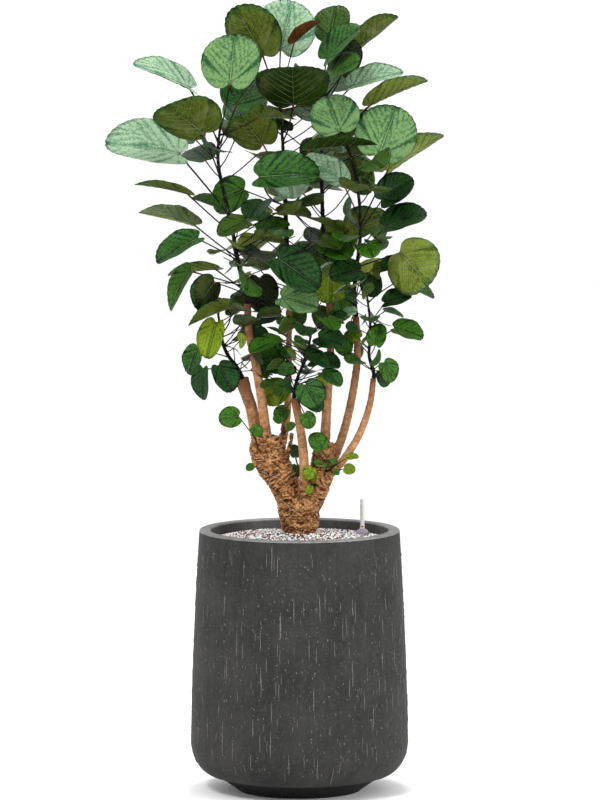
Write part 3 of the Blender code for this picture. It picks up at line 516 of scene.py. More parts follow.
SHOOTS = {
    "far_left": Limb(((-13.6, -0.3, 91.2), (-16.0, -1.0, 95.0), (-17.6, -1.3, 104.0)),
                     (0.5, 0.42, 0.36, 0.2)),
    "left": Limb(((-12.5, -3.2, 111.0), (-14.5, -3.2, 121.6), (-17.2, -3.0, 134.5), (-16.6, -3.0, 144.0)),
                 (0.56, 0.47, 0.42, 0.36, 0.22)),
    "centre_left": Limb(((-2.8, 5.0, 118.8), (-3.3, 4.4, 133.0), (-4.2, 3.4, 148.0)),
                        (0.54, 0.5, 0.38, 0.24)),
    "front": Limb(((-0.4, -5.0, 89.0), (1.6, -5.0, 94.0), (2.6, -4.6, 99.5)), (0.4, 0.34, 0.3, 0.2)),
    "centre_right": Limb(((5.2, 5.8, 117.5), (4.7, 5.6, 134.0), (5.6, 5.0, 149.0)), (0.56, 0.5, 0.38, 0.24)),
    "right": Limb(((11.7, 0.3, 108.0), (13.0, 0.2, 121.0), (11.7, 0.4, 132.6), (9.8, 0.8, 138.6)),
                  (0.46, 0.42, 0.36, 0.3, 0.2)),
    "far_right": Limb(((14.8, -2.9, 93.3), (15.0, -3.0, 100.2), (13.8, -2.8, 110.4)),
                      (0.42, 0.34, 0.28, 0.18)),
}

K = LeafKind
LEADING = {
    "left": (
        Leaf(-14.8, -6.5, 150.1, 12.4, 12.8, 85, 15, 10, K.BRIGHT),
        Leaf(-21.8, -2.0, 149.5, 14.9, 12.0, 151, -15, 72, K.PALE),
        Leaf(-19.3, -8.5, 140.3, 14.6, 14.0, 138, -35, 150, K.OLIVE),
        Leaf(-23.5, -4.0, 136.0, 17.8, 14.5, 166, -10, 56, K.PALE),
        Leaf(-14.0, 0.5, 145.6, 11.0, 11.0, 54, 25, 30, K.TEAL),
        Leaf(-22.3, -2.0, 127.4, 13.0, 10.5, 163, -5, 92, K.OLIVE),
        Leaf(-21.0, 3.0, 120.5, 13.7, 9.0, 162, 5, 75, K.SAGE),
        Leaf(-20.4, -6.5, 119.3, 11.3, 8.5, 205, -10, 60, K.TEAL),
        Leaf(-22.5, -3.0, 112.6, 11.1, 7.5, 238, 10, 60, K.GREEN),
        Leaf(-16.5, 5.0, 111.3, 12.0, 9.0, 183, 15, 104, K.SAGE),
        Leaf(-17.5, -4.5, 110.0, 8.0, 7.5, 232, -15, 150, K.DARK),
        Leaf(-10.6, -8.0, 122.6, 7.5, 7.0, 200, -20, 58, K.OLIVE),
        Leaf(-9.2, -5.5, 118.6, 7.5, 7.0, 0, -25, 118, K.OLIVE),
    ),
    "centre_left": (
        Leaf(-4.4, 3.0, 157.0, 12.5, 13.0, 76, 15, 0, K.PALE),
        Leaf(-7.1, -1.6, 155.9, 13.3, 12.0, 118, 3, 158, K.OLIVE),
        Leaf(-1.2, -6.5, 145.9, 16.0, 15.5, 92, -48, 180, K.MOSS),
        Leaf(-1.8, -4.5, 159.4, 8.3, 6.0, 45, -10, 112, K.RUST),
        Leaf(-7.1, -0.5, 137.5, 11.3, 10.5, 128, -30, 160, K.OLIVE),
        Leaf(-9.9, -9.5, 131.7, 14.3, 11.5, 8, -12, 50, K.TEAL),
        Leaf(-5.6, -11.5, 115.6, 12.0, 9.5, -33, -5, 30, K.DARK),
        Leaf(-4.7, -7.2, 106.4, 9.0, 10.5, -10, -12, 60, K.BRIGHT),
        Leaf(-8.6, 1.4, 110.6, 8.2, 7.4, -84, 4, 168, K.NIGHT),
        Leaf(-6.0, 9.5, 122.5, 8.0, 7.5, 190, 20, 70, K.SAGE),
        Leaf(0.4, -9.6, 137.4, 16.0, 7.5, 10, -4, 98, K.MOSS),
        Leaf(-0.4, 7.6, 103.8, 5.0, 4.8, -92, 5, 20, K.OLIVE),
        Leaf(-3.8, 7.0, 102.0, 5.8, 5.2, 195, 5, 45, K.DARK),
    ),
    "centre_right": (
        Leaf(6.5, 8.0, 159.6, 9.0, 8.5, 82, 25, 20, K.OLIVE),
        Leaf(4.8, -1.0, 155.5, 11.3, 9.5, 48, -10, 60, K.TEAL),
        Leaf(12.2, 5.5, 158.1, 11.3, 9.0, 45, -5, 118, K.OLIVE),
        Leaf(8.8, 2.4, 152.2, 8.6, 7.6, 74, 2, 160, K.NIGHT),
        Leaf(9.6, -2.2, 150.2, 12.8, 9.0, 20, -6, 64, K.PALE),
        Leaf(13.6, 5.5, 145.5, 14.9, 10.0, 29, 4, 110, K.SAGE),
        Leaf(8.8, -4.6, 140.4, 9.0, 10.8, 110, 6, 12, K.BRIGHT),
        Leaf(8.2, 9.5, 113.2, 9.0, 8.6, 92, 20, 15, K.YOUNG),
        Leaf(6.6, 1.5, 112.0, 8.2, 8.0, -88, 10, 20, K.YOUNG),
        Leaf(8.2, 8.4, 105.8, 6.2, 6.0, -76, 5, 20, K.GREEN),
        Leaf(3.4, 8.0, 102.8, 5.2, 5.0, -60, 5, 30, K.OLIVE),
    ),
    "right": (
        Leaf(16.4, -2.6, 135.1, 12.3, 13.4, 70, 8, 10, K.BRIGHT),
        Leaf(17.4, 4.0, 131.5, 15.7, 11.0, 37, 3, 120, K.SAGE),
        Leaf(10.2, -2.4, 129.8, 11.6, 7.6, 148, 2, 44, K.PALE),
        Leaf(16.7, -1.4, 125.9, 9.0, 8.5, 38, -6, 45, K.DARK),
        Leaf(17.0, -3.5, 120.6, 10.5, 10.0, 22, -10, 62, K.DARK),
        Leaf(20.3, -6.0, 116.5, 12.0, 12.5, -44, -28, 172, K.SAGE),
        Leaf(13.6, -5.5, 112.0, 7.6, 7.6, 188, -20, 50, K.DARK),
        Leaf(9.3, -4.5, 119.6, 8.6, 7.0, 150, -10, 105, K.OLIVE),
        Leaf(15.6, 1.4, 110.9, 5.4, 5.2, -94, 0, 20, K.DARK),
        Leaf(9.8, -1.8, 98.0, 4.8, 4.6, -96, 0, 25, K.GREEN),
    ),
    "far_right": (
        Leaf(19.7, -0.6, 109.6, 9.8, 7.0, -19, 0, 74, K.TEAL),
        Leaf(19.4, -3.0, 99.5, 7.2, 6.5, -12, -5, 58, K.GREEN),
        Leaf(17.4, -3.8, 104.6, 6.6, 6.2, 20, -10, 60, K.DARK),
        Leaf(17.6, -4.0, 92.6, 5.2, 5.0, -60, 5, 30, K.GREEN),
        Leaf(16.0, -6.4, 95.6, 5.2, 5.0, 78, 5, 30, K.GREEN),
        Leaf(17.0, -0.4, 90.4, 4.2, 4.0, -64, 5, 30, K.DARK),
        Leaf(17.6, 0.4, 102.8, 4.8, 3.8, -12, 5, 78, K.TEAL),
    ),
    "far_left": (
        Leaf(-17.4, -4.5, 101.6, 8.8, 6.2, 253, -10, 25, K.YOUNG),
        Leaf(-21.4, 0.5, 95.4, 6.8, 5.6, 248, 5, 40, K.TEAL),
        Leaf(-20.4, -3.0, 91.6, 7.6, 5.6, 266, 0, 45, K.DARK),
        Leaf(-17.6, -5.0, 92.2, 7.0, 6.4, -58, -10, 35, K.DARK),
        Leaf(-13.2, -5.5, 104.5, 11.4, 8.6, 196, -12, 108, K.OLIVE),
    ),
    "front": (
        Leaf(1.0, -8.2, 88.4, 6.0, 6.6, -60, -18, 15, K.TEAL),
        Leaf(4.3, -7.6, 90.6, 5.6, 5.6, -28, -20, 62, K.TEAL),
        Leaf(3.4, -8.0, 98.0, 6.4, 6.4, -10, -30, 50, K.DARK),
        Leaf(-3.4, -7.5, 97.4, 8.2, 7.2, 195, -25, 70, K.GREEN),
        Leaf(0.9, -9.2, 94.6, 6.0, 5.6, -24, -10, 60, K.DARK),
        Leaf(-1.0, -8.6, 91.4, 3.8, 3.6, 184, -10, 40, K.TEAL),
        Leaf(-2.4, 0.6, 86.6, 6.4, 6.2, 206, 10, 20, K.YOUNG),
        Leaf(-3.0, 0.8, 93.4, 6.6, 6.4, 188, 10, 25, K.GREEN),
        Leaf(1.4, -6.8, 84.6, 4.2, 4.0, -28, -10, 30, K.DARK),
        Leaf(0.9, -8.2, 82.0, 3.8, 3.6, -64, -10, 20, K.GREEN),
        Leaf(-2.6, -0.6, 82.2, 3.8, 3.6, 228, 0, 25, K.GREEN),
    ),
    "sprout_left": (
        Leaf(-12.4, -6.4, 81.0, 4.8, 4.8, 188, -10, 20, K.GREEN),
        Leaf(-10.4, -6.8, 78.6, 3.0, 2.8, -30, -10, 30, K.GREEN),
    ),
    "sprout_right": (
        Leaf(9.6, -6.6, 72.0, 3.0, 2.6, 10, -10, 60, K.YOUNG),
        Leaf(5.0, -7.0, 73.5, 4.6, 4.2, 120, 10, 25, K.GREEN),
        Leaf(2.9, -6.6, 70.2, 3.2, 3.0, 240, -10, 20, K.YOUNG),
    ),
}
SPRIGS = {
    "sprig_front": (
        Leaf(2.4, -5.6, 67.0, 2.2, 2.0, 62, 0, 20, K.YOUNG),
        Leaf(2.5, -5.6, 66.2, 2.2, 1.9, 248, -10, 25, K.YOUNG),
    ),
    "sprig_right": (
        Leaf(4.5, -5.3, 70.7, 1.7, 1.5, 158, 0, 20, K.GREEN),
        Leaf(5.6, -5.8, 69.7, 1.4, 1.3, 110, -10, 30, K.GREEN),
        Leaf(6.3, -5.4, 70.9, 1.8, 1.6, 12, 0, 20, K.GREEN),
        Leaf(7.1, -5.4, 69.3, 1.6, 1.4, -30, -10, 25, K.GREEN),
        Leaf(9.3, -5.2, 69.6, 2.6, 2.5, -4, -10, 20, K.YOUNG),
        Leaf(3.4, -4.6, 73.8, 2.6, 2.3, 106, 0, 20, K.GREEN),
    ),
    "sprig_back": (
        Leaf(-0.9, -1.2, 71.4, 3.0, 2.6, 96, 10, 20, K.DARK),
        Leaf(-0.6, -1.2, 70.2, 3.0, 2.6, 266, 0, 25, K.DARK),
    ),
    "sprig_left": (
        Leaf(-9.6, -4.8, 70.3, 2.0, 1.8, 205, -10, 20, K.GREEN),
    ),
    "sprig_stem": (
        Leaf(-3.8, -3.2, 79.3, 2.2, 2.0, 140, 0, 20, K.GREEN),
        Leaf(-2.7, -3.4, 77.8, 2.2, 1.9, 40, -10, 25, K.GREEN),
    ),
}


@dataclass(frozen=True)
class Spread:
    """How a shoot fills itself between its leading leaves, in centimetres and degrees."""

    tries: int
    first_bearing: float
    reach: tuple[float, float]
    blade: tuple[float, float]


FILLING = {
    "left": Spread(70, 40.0, (5.0, 15.0), (6.5, 11.0)),
    "centre_left": Spread(95, 110.0, (5.0, 16.0), (6.5, 12.0)),
    "centre_right": Spread(95, 75.0, (5.0, 17.0), (6.5, 12.0)),
    "right": Spread(70, 10.0, (5.0, 14.0), (6.0, 10.5)),
    "far_left": Spread(40, 150.0, (3.0, 9.0), (5.0, 7.5)),
    "front": Spread(34, 230.0, (2.5, 8.0), (4.5, 6.5)),
    "far_right": Spread(40, 30.0, (3.0, 8.0), (4.5, 7.0)),
}
FINER = {
    "left": Spread(90, 95.0, (4.0, 12.0), (6.0, 10.0)),
    "centre_left": Spread(140, 20.0, (4.0, 13.0), (6.0, 10.5)),
    "centre_right": Spread(140, 160.0, (4.0, 13.0), (6.0, 10.5)),
    "right": Spread(90, 60.0, (4.0, 11.0), (5.5, 9.0)),
    "far_left": Spread(34, 210.0, (2.5, 7.0), (3.0, 5.5)),
    "front": Spread(44, 300.0, (2.0, 6.5), (2.8, 5.0)),
    "far_right": Spread(34, 80.0, (2.5, 6.0), (3.0, 5.0)),
}
GOLDEN_ANGLE = 137.5

# The crown's dense heart seen from the front: height, left edge and right edge, in centimetres.
HEART = (
    (80.0, -3.0, 6.0), (84.0, -9.0, 10.0), (90.0, -16.5, 17.0), (98.0, -20.5, 19.0), (107.0, -22.0, 20.0),
    (116.0, -21.0, 19.0), (124.0, -19.5, 19.5), (133.0, -16.0, 18.0), (142.0, -11.0, 14.5),
    (150.0, -8.0, 12.0),
)
# Windows of open sky in it: left, right, bottom and top, in centimetres.
WINDOWS = (
    (-15.5, -8.0, 130.5, 140.5), (-11.0, -3.5, 130.0, 135.5), (-0.5, 5.0, 122.5, 128.5),
    (1.0, 5.2, 99.0, 104.0), (6.6, 9.6, 83.0, 99.0),
)


def smooth_path(points: list[Vector], values: list[float], step: float) -> tuple[list[Vector], list[float]]:
    """Read a smooth curve through points.

    Args:
        points: what the curve passes through.
        values: a value at each point.
        step: distance between the points read.

    Returns:
        The points read and the values that go with them.
    """
    ends = [2 * points[0] - points[1], *points, 2 * points[-1] - points[-2]]
    levels = [2 * values[0] - values[1], *values, 2 * values[-1] - values[-2]]
    path, sizes = [], []
    for index in range(1, len(ends) - 2):
        a, b, c, d = ends[index - 1:index + 3]
        span = max(1, round((c - b).length / step))
        for part in range(span):
            t = part / span
            path.append(0.5 * (2 * b + (c - a) * t + (2 * a - 5 * b + 4 * c - d) * t * t
                               + (3 * b - a - 3 * c + d) * t ** 3))
            sizes.append(levels[index] + (levels[index + 1] - levels[index]) * t)
    return path + [points[-1]], sizes + [values[-1]]


def limb_path(limb: Limb, step: float) -> tuple[list[Vector], list[float]]:
    """Axis and radii of a limb in metres, read at a step."""
    points = [Vector(point) * CM for point in limb.points]
    return smooth_path(points, [radius * CM for radius in limb.radii], step)


def tube(path: list[Vector], radii: list[float], sides: int) -> Solid:
    """Closed tube along a path.

    Args:
        path: points of the axis.
        radii: radius at each.
        sides: number of sides.

    Returns:
        Vertices and faces.
    """
    ways = [(path[1] - path[0]).normalized()]
    ways += [(after - before).normalized() for before, after in zip(path, path[2:])]
    ways += [(path[-1] - path[-2]).normalized()]
    across = ways[0].orthogonal().normalized()
    points = []
    for centre, way, radius in zip(path, ways, radii):
        across = (across - way * across.dot(way)).normalized()
        over = way.cross(across)
        for side in range(sides):
            angle = 2 * math.pi * side / sides
            points.append(centre + radius * (across * math.cos(angle) + over * math.sin(angle)))
    faces = [tuple(reversed(range(sides))), tuple(range(len(points) - sides, len(points)))]
    for row in range(len(path) - 1):
        for side in range(sides):
            following = (side + 1) % sides
            low = row * sides
            faces.append((low + side, low + following, low + sides + following, low + sides + side))
    return points, faces


def turned(profile: list[tuple[float, float]], segments: int,
           centre: tuple[float, float] = (0.0, 0.0)) -> bmesh.types.BMesh:
    """Spin a profile about a vertical axis.

    Args:
        profile: (radius, height) pairs, from axis to axis or closed.
        segments: steps round the axis.
        centre: where the axis stands.

    Returns:
        The turned mesh.
    """
    bm = bmesh.new()
    rings = []
    x, y = centre
    for radius, height in profile:
        if radius == 0.0:
            rings.append([bm.verts.new((x, y, height))])
            continue
        angles = [2 * math.pi * step / segments for step in range(segments)]
        rings.append([bm.verts.new((x + radius * math.cos(angle), y + radius * math.sin(angle), height))
                      for angle in angles])
    for low, high in zip(rings, rings[1:]):
        for step in range(segments):
            following = (step + 1) % segments
            corners = [low[step % len(low)], low[following % len(low)],
                       high[following % len(high)], high[step % len(high)]]
            bm.faces.new(list(dict.fromkeys(corners)))
    bmesh.ops.recalc_face_normals(bm, faces=bm.faces)
    return bm


def mesh_of(bm: bmesh.types.BMesh, name: str) -> bpy.types.Mesh:
    """Mesh of a finished bmesh.

    Args:
        bm: the bmesh, which is freed.
        name: name of the mesh.

    Returns:
        The mesh.
    """
    mesh = bpy.data.meshes.new(name)
    bm.to_mesh(mesh)
    bm.free()
    return mesh


def join_solid(points: list[Vector], faces: list[tuple[int, ...]], solid: Solid) -> None:
    """Add a solid's vertices and faces to those gathered so far."""
    start = len(points)
    points += solid[0]
    faces += [tuple(start + corner for corner in face) for face in solid[1]]


def faces_of(mesh: bpy.types.Mesh) -> BVHTree:
    """Search tree over the faces of a mesh."""
    return BVHTree.FromPolygons([vertex.co for vertex in mesh.vertices],
                                [tuple(face.vertices) for face in mesh.polygons])


def piece(name: str, mesh: bpy.types.Mesh, finishes: list[bpy.types.Material],
          replaced: tuple[str, ...] = (), smooth: float = 180.0) -> bpy.types.Object:
    """Place a finished mesh, give it its finishes and tell the frame about it.

    Args:
        name: name of the piece.
        mesh: the mesh, in the part's own place.
        finishes: materials, in the order of the faces' indices; none where the mesh brings its own.
        replaced: CAD nodes that the piece stands for.
        smooth: faces that meet at less than this angle are shaded smooth.

    Returns:
        The new object.
    """
    mesh.name = name
    for finish in finishes:
        mesh.materials.append(finish)
    mesh.shade_smooth()
    if smooth < 180.0:
        mesh.set_sharp_from_angle(angle=math.radians(smooth))
    made = bpy.data.objects.new(name, mesh)
    bpy.context.scene.collection.objects.link(made)
    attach(made, BODY)
    if replaced:
        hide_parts(*replaced)
    log.info("%s: %d faces", name, len(mesh.polygons))
    return made


def mesh_from(points: np.ndarray | list, faces: list[tuple[int, ...]]) -> bpy.types.Mesh:
    """Plain mesh from vertices and faces.

    Args:
        points: vertices.
        faces: corners of each face.

    Returns:
        The mesh.
    """
    mesh = bpy.data.meshes.new("working")
    mesh.from_pydata([tuple(point) for point in points], [], faces)
    mesh.update()
    return mesh


def write_attribute(mesh: bpy.types.Mesh, name: str, values: np.ndarray) -> None:
    """Store one number a vertex under a name."""
    layer = mesh.attributes.new(name, "FLOAT", "POINT")
    layer.data.foreach_set("value", np.asarray(values, dtype=np.float32))


def read_points(mesh: bpy.types.Mesh) -> np.ndarray:
    """Vertices of a mesh, one row each."""
    found = np.empty(len(mesh.vertices) * 3, dtype=np.float32)
    mesh.vertices.foreach_get("co", found)
    return found.reshape(-1, 3)


def grown_by_nodes(mesh: bpy.types.Mesh, tree: bpy.types.NodeTree,
                   values: dict[str, object]) -> bpy.types.Mesh:
    """Run a geometry node tree on a mesh.

    Args:
        mesh: what goes in.
        tree: the node tree.
        values: its inputs, by their names.

    Returns:
        A new plain mesh.
    """
    carrier = bpy.data.objects.new("carrier", mesh)
    bpy.context.scene.collection.objects.link(carrier)
    modifier = carrier.modifiers.new("grow", "NODES")
    modifier.node_group = tree
    for item in tree.interface.items_tree:
        if item.item_type == "SOCKET" and item.in_out == "INPUT" and item.name in values:
            modifier[item.identifier] = values[item.name]
    evaluated = carrier.evaluated_get(bpy.context.evaluated_depsgraph_get())
    result = bpy.data.meshes.new_from_object(evaluated)
    bpy.data.objects.remove(carrier, do_unlink=True)
    bpy.data.node_groups.remove(tree)
    return result


def node_tree(name: str,
              inputs: dict[str, tuple[str, object]]) -> tuple[Sheet, bpy.types.Node, bpy.types.Node]:
    """Empty geometry node tree with named inputs.

    Args:
        name: name of the tree.
        inputs: socket type and default value of each input.

    Returns:
        The sheet, its input node and its output node.
    """
    tree = bpy.data.node_groups.new(name, "GeometryNodeTree")
    tree.interface.new_socket("Geometry", in_out="INPUT", socket_type="NodeSocketGeometry")
    for title, (kind, default) in inputs.items():
        socket = tree.interface.new_socket(title, in_out="INPUT", socket_type=kind)
        if default is not None:
            socket.default_value = default
    tree.interface.new_socket("Geometry", in_out="OUTPUT", socket_type="NodeSocketGeometry")
    sheet = Sheet(tree)
    return sheet, sheet.add("NodeGroupInput"), sheet.add("NodeGroupOutput")


class BladeFrame(NamedTuple):
    """Where a blade stands."""

    base: Vector
    midrib: Vector
    side: Vector
    normal: Vector


def frame_of(leaf: Leaf) -> BladeFrame:
    """Base, midrib, side and top normal of a blade.

    Args:
        leaf: the blade.

    Returns:
        Its frame, in metres.
    """
    aim, away, turn = (math.radians(angle) for angle in (leaf.aim, leaf.away, leaf.turn))
    midrib = Vector((math.cos(away) * math.cos(aim), math.sin(away), math.cos(away) * math.sin(aim)))
    front = Vector((0.0, -1.0, 0.0)) + math.sin(away) * midrib
    front.normalize()
    skyward = midrib.cross(front)
    if skyward.z < -1e-6:
        skyward.negate()
    normal = front * math.cos(turn) + skyward * math.sin(turn)
    return BladeFrame(Vector((leaf.x, leaf.y, leaf.z)) * CM, midrib, normal.cross(midrib), normal)


@dataclass
class Blade:
    """Mesh of one leaf: a quilted, round-toothed blade with raised ribs, in shares of its length."""

    leaf: Leaf
    dice: random.Random
    middle: float = 0.47
    reach: float = 0.53
    notch_depth: float = 0.10
    notch_width: float = 0.35
    cleft_depth: float = 0.055
    cleft_width: float = 0.15
    joint: float = 0.12
    rise: float = 0.13
    droop: float = 0.10
    quilt_height: float = 0.013
    vein_pitch: float = 0.125
    vein_slope: float = 0.72
    vein_bend: float = 0.55
    fan_step: float = 31.0
    tooth: float = 0.017
    thickness: float = 0.0042
    midrib: float = 0.0088
    side_vein: float = 0.0046
    fewest_teeth: int = 14
    teeth_per_cm: float = 0.9
    large: float = 9.0
    small: float = 5.5
    folds: tuple[float, float] = (1.35, 2.1)
    wave_heights: tuple[float, float] = (0.004, 0.017)
    wave_counts: tuple[int, ...] = (4, 5, 6)
    most_twist: float = 0.05

    def __post_init__(self) -> None:
        """Draw what differs from leaf to leaf."""
        self.fold = self.dice.uniform(*self.folds)
        self.wave = self.dice.uniform(*self.wave_heights)
        self.waves = self.dice.choice(self.wave_counts)
        self.phase = self.dice.uniform(0.0, 2 * math.pi)
        self.twist = self.dice.uniform(-self.most_twist, self.most_twist)
        self.half = 0.5 * self.leaf.width / self.leaf.length
        self.around, self.rings = (104, 9) if self.leaf.length > self.large else (80, 7)
        if self.leaf.length < self.small:
            self.around, self.rings = 56, 5

    def outline(self, angle: np.ndarray) -> tuple[np.ndarray, np.ndarray]:
        """Points of the near-round rim, notched at the base and round-toothed.

        Args:
            angle: place round the rim, 0 at the tip.

        Returns:
            Distance along the midrib and across it.
        """
        behind = np.abs(np.pi - angle % (2 * np.pi))
        notch = self.notch_depth * np.exp(-(behind / self.notch_width) ** 2)
        notch = notch + self.cleft_depth * np.exp(-(behind / self.cleft_width) ** 2)
        along = self.middle + self.reach * np.cos(angle) + notch
        across = self.half * np.sin(angle)
        teeth = round(self.teeth_per_cm * self.leaf.length + self.fewest_teeth)
        scallop = 1 + self.tooth * (np.abs(np.sin(0.5 * teeth * angle)) - 0.6)
        return self.joint + (along - self.joint) * scallop, across * scallop

    def vein_count(self, along: np.ndarray, across: np.ndarray) -> np.ndarray:
        """Number of veins passed, whole on each side vein.

        Args:
            along: distance along the midrib.
            across: distance across it.

        Returns:
            The count, negative in the fan below the first side vein.
        """
        ahead = along - self.joint
        aside = np.abs(across)
        above = (ahead - self.vein_slope * aside - self.vein_bend * aside ** 2) / self.vein_pitch
        bearing = np.degrees(np.arctan2(aside, ahead))
        first = math.degrees(math.atan2(1.0, self.vein_slope))
        fan = -(bearing - first) / self.fan_step
        return np.where(above > 0, above, np.minimum(fan, 0.0))

    def height(self, along: np.ndarray, across: np.ndarray, quilted: bool = True) -> np.ndarray:
        """Height of the blade's middle surface over its flat plane.

        Args:
            along: distance along the midrib.
            across: distance across it.
            quilted: whether the tissue swells between the veins.

        Returns:
            The heights.
        """
        aside = np.abs(across) / self.half
        bearing = np.arctan2(across, along - self.middle)
        out = np.clip(np.hypot((along - self.middle) / self.reach, across / self.half), 0.0, 1.1)
        level = self.rise * aside ** self.fold - self.droop * along ** 2
        level = level + self.wave * out ** 3 * np.sin(self.waves * bearing + self.phase)
        level = level + self.twist * along * across / self.half
        if quilted:
            level = level + self.quilt_height * self.quilt(along, across) * np.clip(1.25 - out, 0.25, 1.0)
        return level

    def quilt(self, along: np.ndarray, across: np.ndarray) -> np.ndarray:
        """How far the tissue swells, from 0 on a vein to 1 midway between two.

        Args:
            along: distance along the midrib.
            across: distance across it.

        Returns:
            The swelling.
        """
        count = self.vein_count(along, across)
        between = np.abs(np.sin(np.pi * count)) ** np.where(count < 0.5, 0.3, 0.6)
        parts = 0.62 + 0.38 * np.abs(np.sin(np.pi * (np.abs(across) / 0.085 + 0.5 * np.floor(count))))
        near_rib = np.clip(np.abs(across) / 0.05, 0.0, 1.0)
        return between * parts * near_rib

    def place(self, along: np.ndarray, across: np.ndarray, level: np.ndarray) -> np.ndarray:
        """Carry flat coordinates and heights to the leaf's place.

        Args:
            along: distance along the midrib.
            across: distance across it.
            level: height over the plane.

        Returns:
            World points in metres.
        """
        base, midrib, side, normal = (np.array(vector) for vector in frame_of(self.leaf))
        size = self.leaf.length * CM
        return base + size * (np.outer(along, midrib) + np.outer(across, side) + np.outer(level, normal))

    def body(self) -> tuple[np.ndarray, list[tuple[int, ...]], list[int], np.ndarray]:
        """The blade itself: top, underside and a shared rim.

        Returns:
            Vertices, faces, each face's side (0 top, 1 underside) and the quilt value of each vertex.
        """
        count, rings = self.around, self.rings
        angle = np.linspace(0.0, 2 * np.pi, count, endpoint=False)
        rim_along, rim_across = self.outline(angle)
        shares = (np.arange(1, rings + 1) / rings) ** 0.9
        along = self.joint + np.outer(shares, rim_along - self.joint)
        across = np.outer(shares, rim_across)
        along, across = np.append(self.joint, along.ravel()), np.append(0.0, across.ravel())
        level = self.height(along, across)
        half = np.append(1.0, np.repeat(1.0 - 0.6 * shares ** 4, count)) * 0.5 * self.thickness
        inside = len(along) - count
        top = self.place(along, across, level + half)
        bottom = self.place(along[:inside], across[:inside], (level - half)[:inside])
        quilt = self.quilt(along, across)
        faces, sides = [], []
        low = len(top)

        def under(index: int) -> int:
            """Index of the underside's vertex below a vertex of the top."""
            return low + index if index < inside else index

        for step in range(count):
            following = (step + 1) % count
            fan = (0, 1 + step, 1 + following)
            faces += [fan, tuple(under(index) for index in reversed(fan))]
            sides += [0, 1]
            for ring in range(rings - 1):
                start = 1 + ring * count
                corners = (start + step, start + count + step, start + count + following, start + following)
                faces += [corners, tuple(under(index) for index in reversed(corners))]
                sides += [0, int(ring < rings - 2)]
        return np.vstack([top, bottom]), faces, sides, np.append(quilt, quilt[:inside])

    def rib_lines(self) -> list[tuple[np.ndarray, np.ndarray, float, float]]:
        """Midrib and side veins on the flat blade.

        Returns:
            For each, its points along and across, and its thickness at the start and the end.
        """
        angle = np.linspace(-np.pi, np.pi, 181)
        rim_along, rim_across = self.outline(angle)
        bearings = np.arctan2(rim_across, rim_along - self.joint)
        spans = np.hypot(rim_along - self.joint, rim_across)
        order = np.argsort(bearings)

        def inside(along: np.ndarray, across: np.ndarray) -> np.ndarray:
            """Which points lie well within the rim."""
            limit = np.interp(np.arctan2(across, along - self.joint), bearings[order], spans[order])
            return np.hypot(along - self.joint, across) < 0.93 * limit

        small = self.leaf.length < self.small
        points = 5 if small else 7
        first = math.degrees(math.atan2(1.0, self.vein_slope))
        tip = np.linspace(self.joint, 0.95, points + 3)
        lines = [(tip, np.zeros_like(tip), self.midrib, 0.002)]
        steps = np.linspace(0.0, 0.75, 60)
        for hand in (-1, 1):
            for number in range(0 if small else -3, 6):
                if number > 0 or (small and number == 0):
                    start = self.joint + number * self.vein_pitch
                    along = start + self.vein_slope * steps + self.vein_bend * steps ** 2
                    across = hand * steps
                else:
                    bearing = math.radians(first - number * self.fan_step)
                    along = self.joint + steps * math.cos(bearing)
                    across = hand * steps * math.sin(bearing)
                within = inside(along, across)
                last = int(np.argmin(within)) if not within.all() else len(steps)
                if last < 8:
                    continue
                chosen = np.linspace(0, last - 1, points).round().astype(int)
                lines.append((along[chosen], across[chosen], self.side_vein, 0.0018))
        return lines

    def ribs(self) -> tuple[np.ndarray, list[tuple[int, ...]]]:
        """Raised ribs that show on both faces of the blade.

        Returns:
            Vertices and faces.
        """
        points, faces = [], []
        size = self.leaf.length * CM
        for along, across, thick, thin in self.rib_lines():
            sunk = 0.0 if thick > self.side_vein else 0.8 * self.side_vein
            centre = self.place(along, across, self.height(along, across, quilted=False) - sunk)
            radii = np.linspace(thick, thin, len(along)) * size
            join_solid(points, faces, tube([Vector(point) for point in centre], radii.tolist(), 4))
        return np.array(points), faces


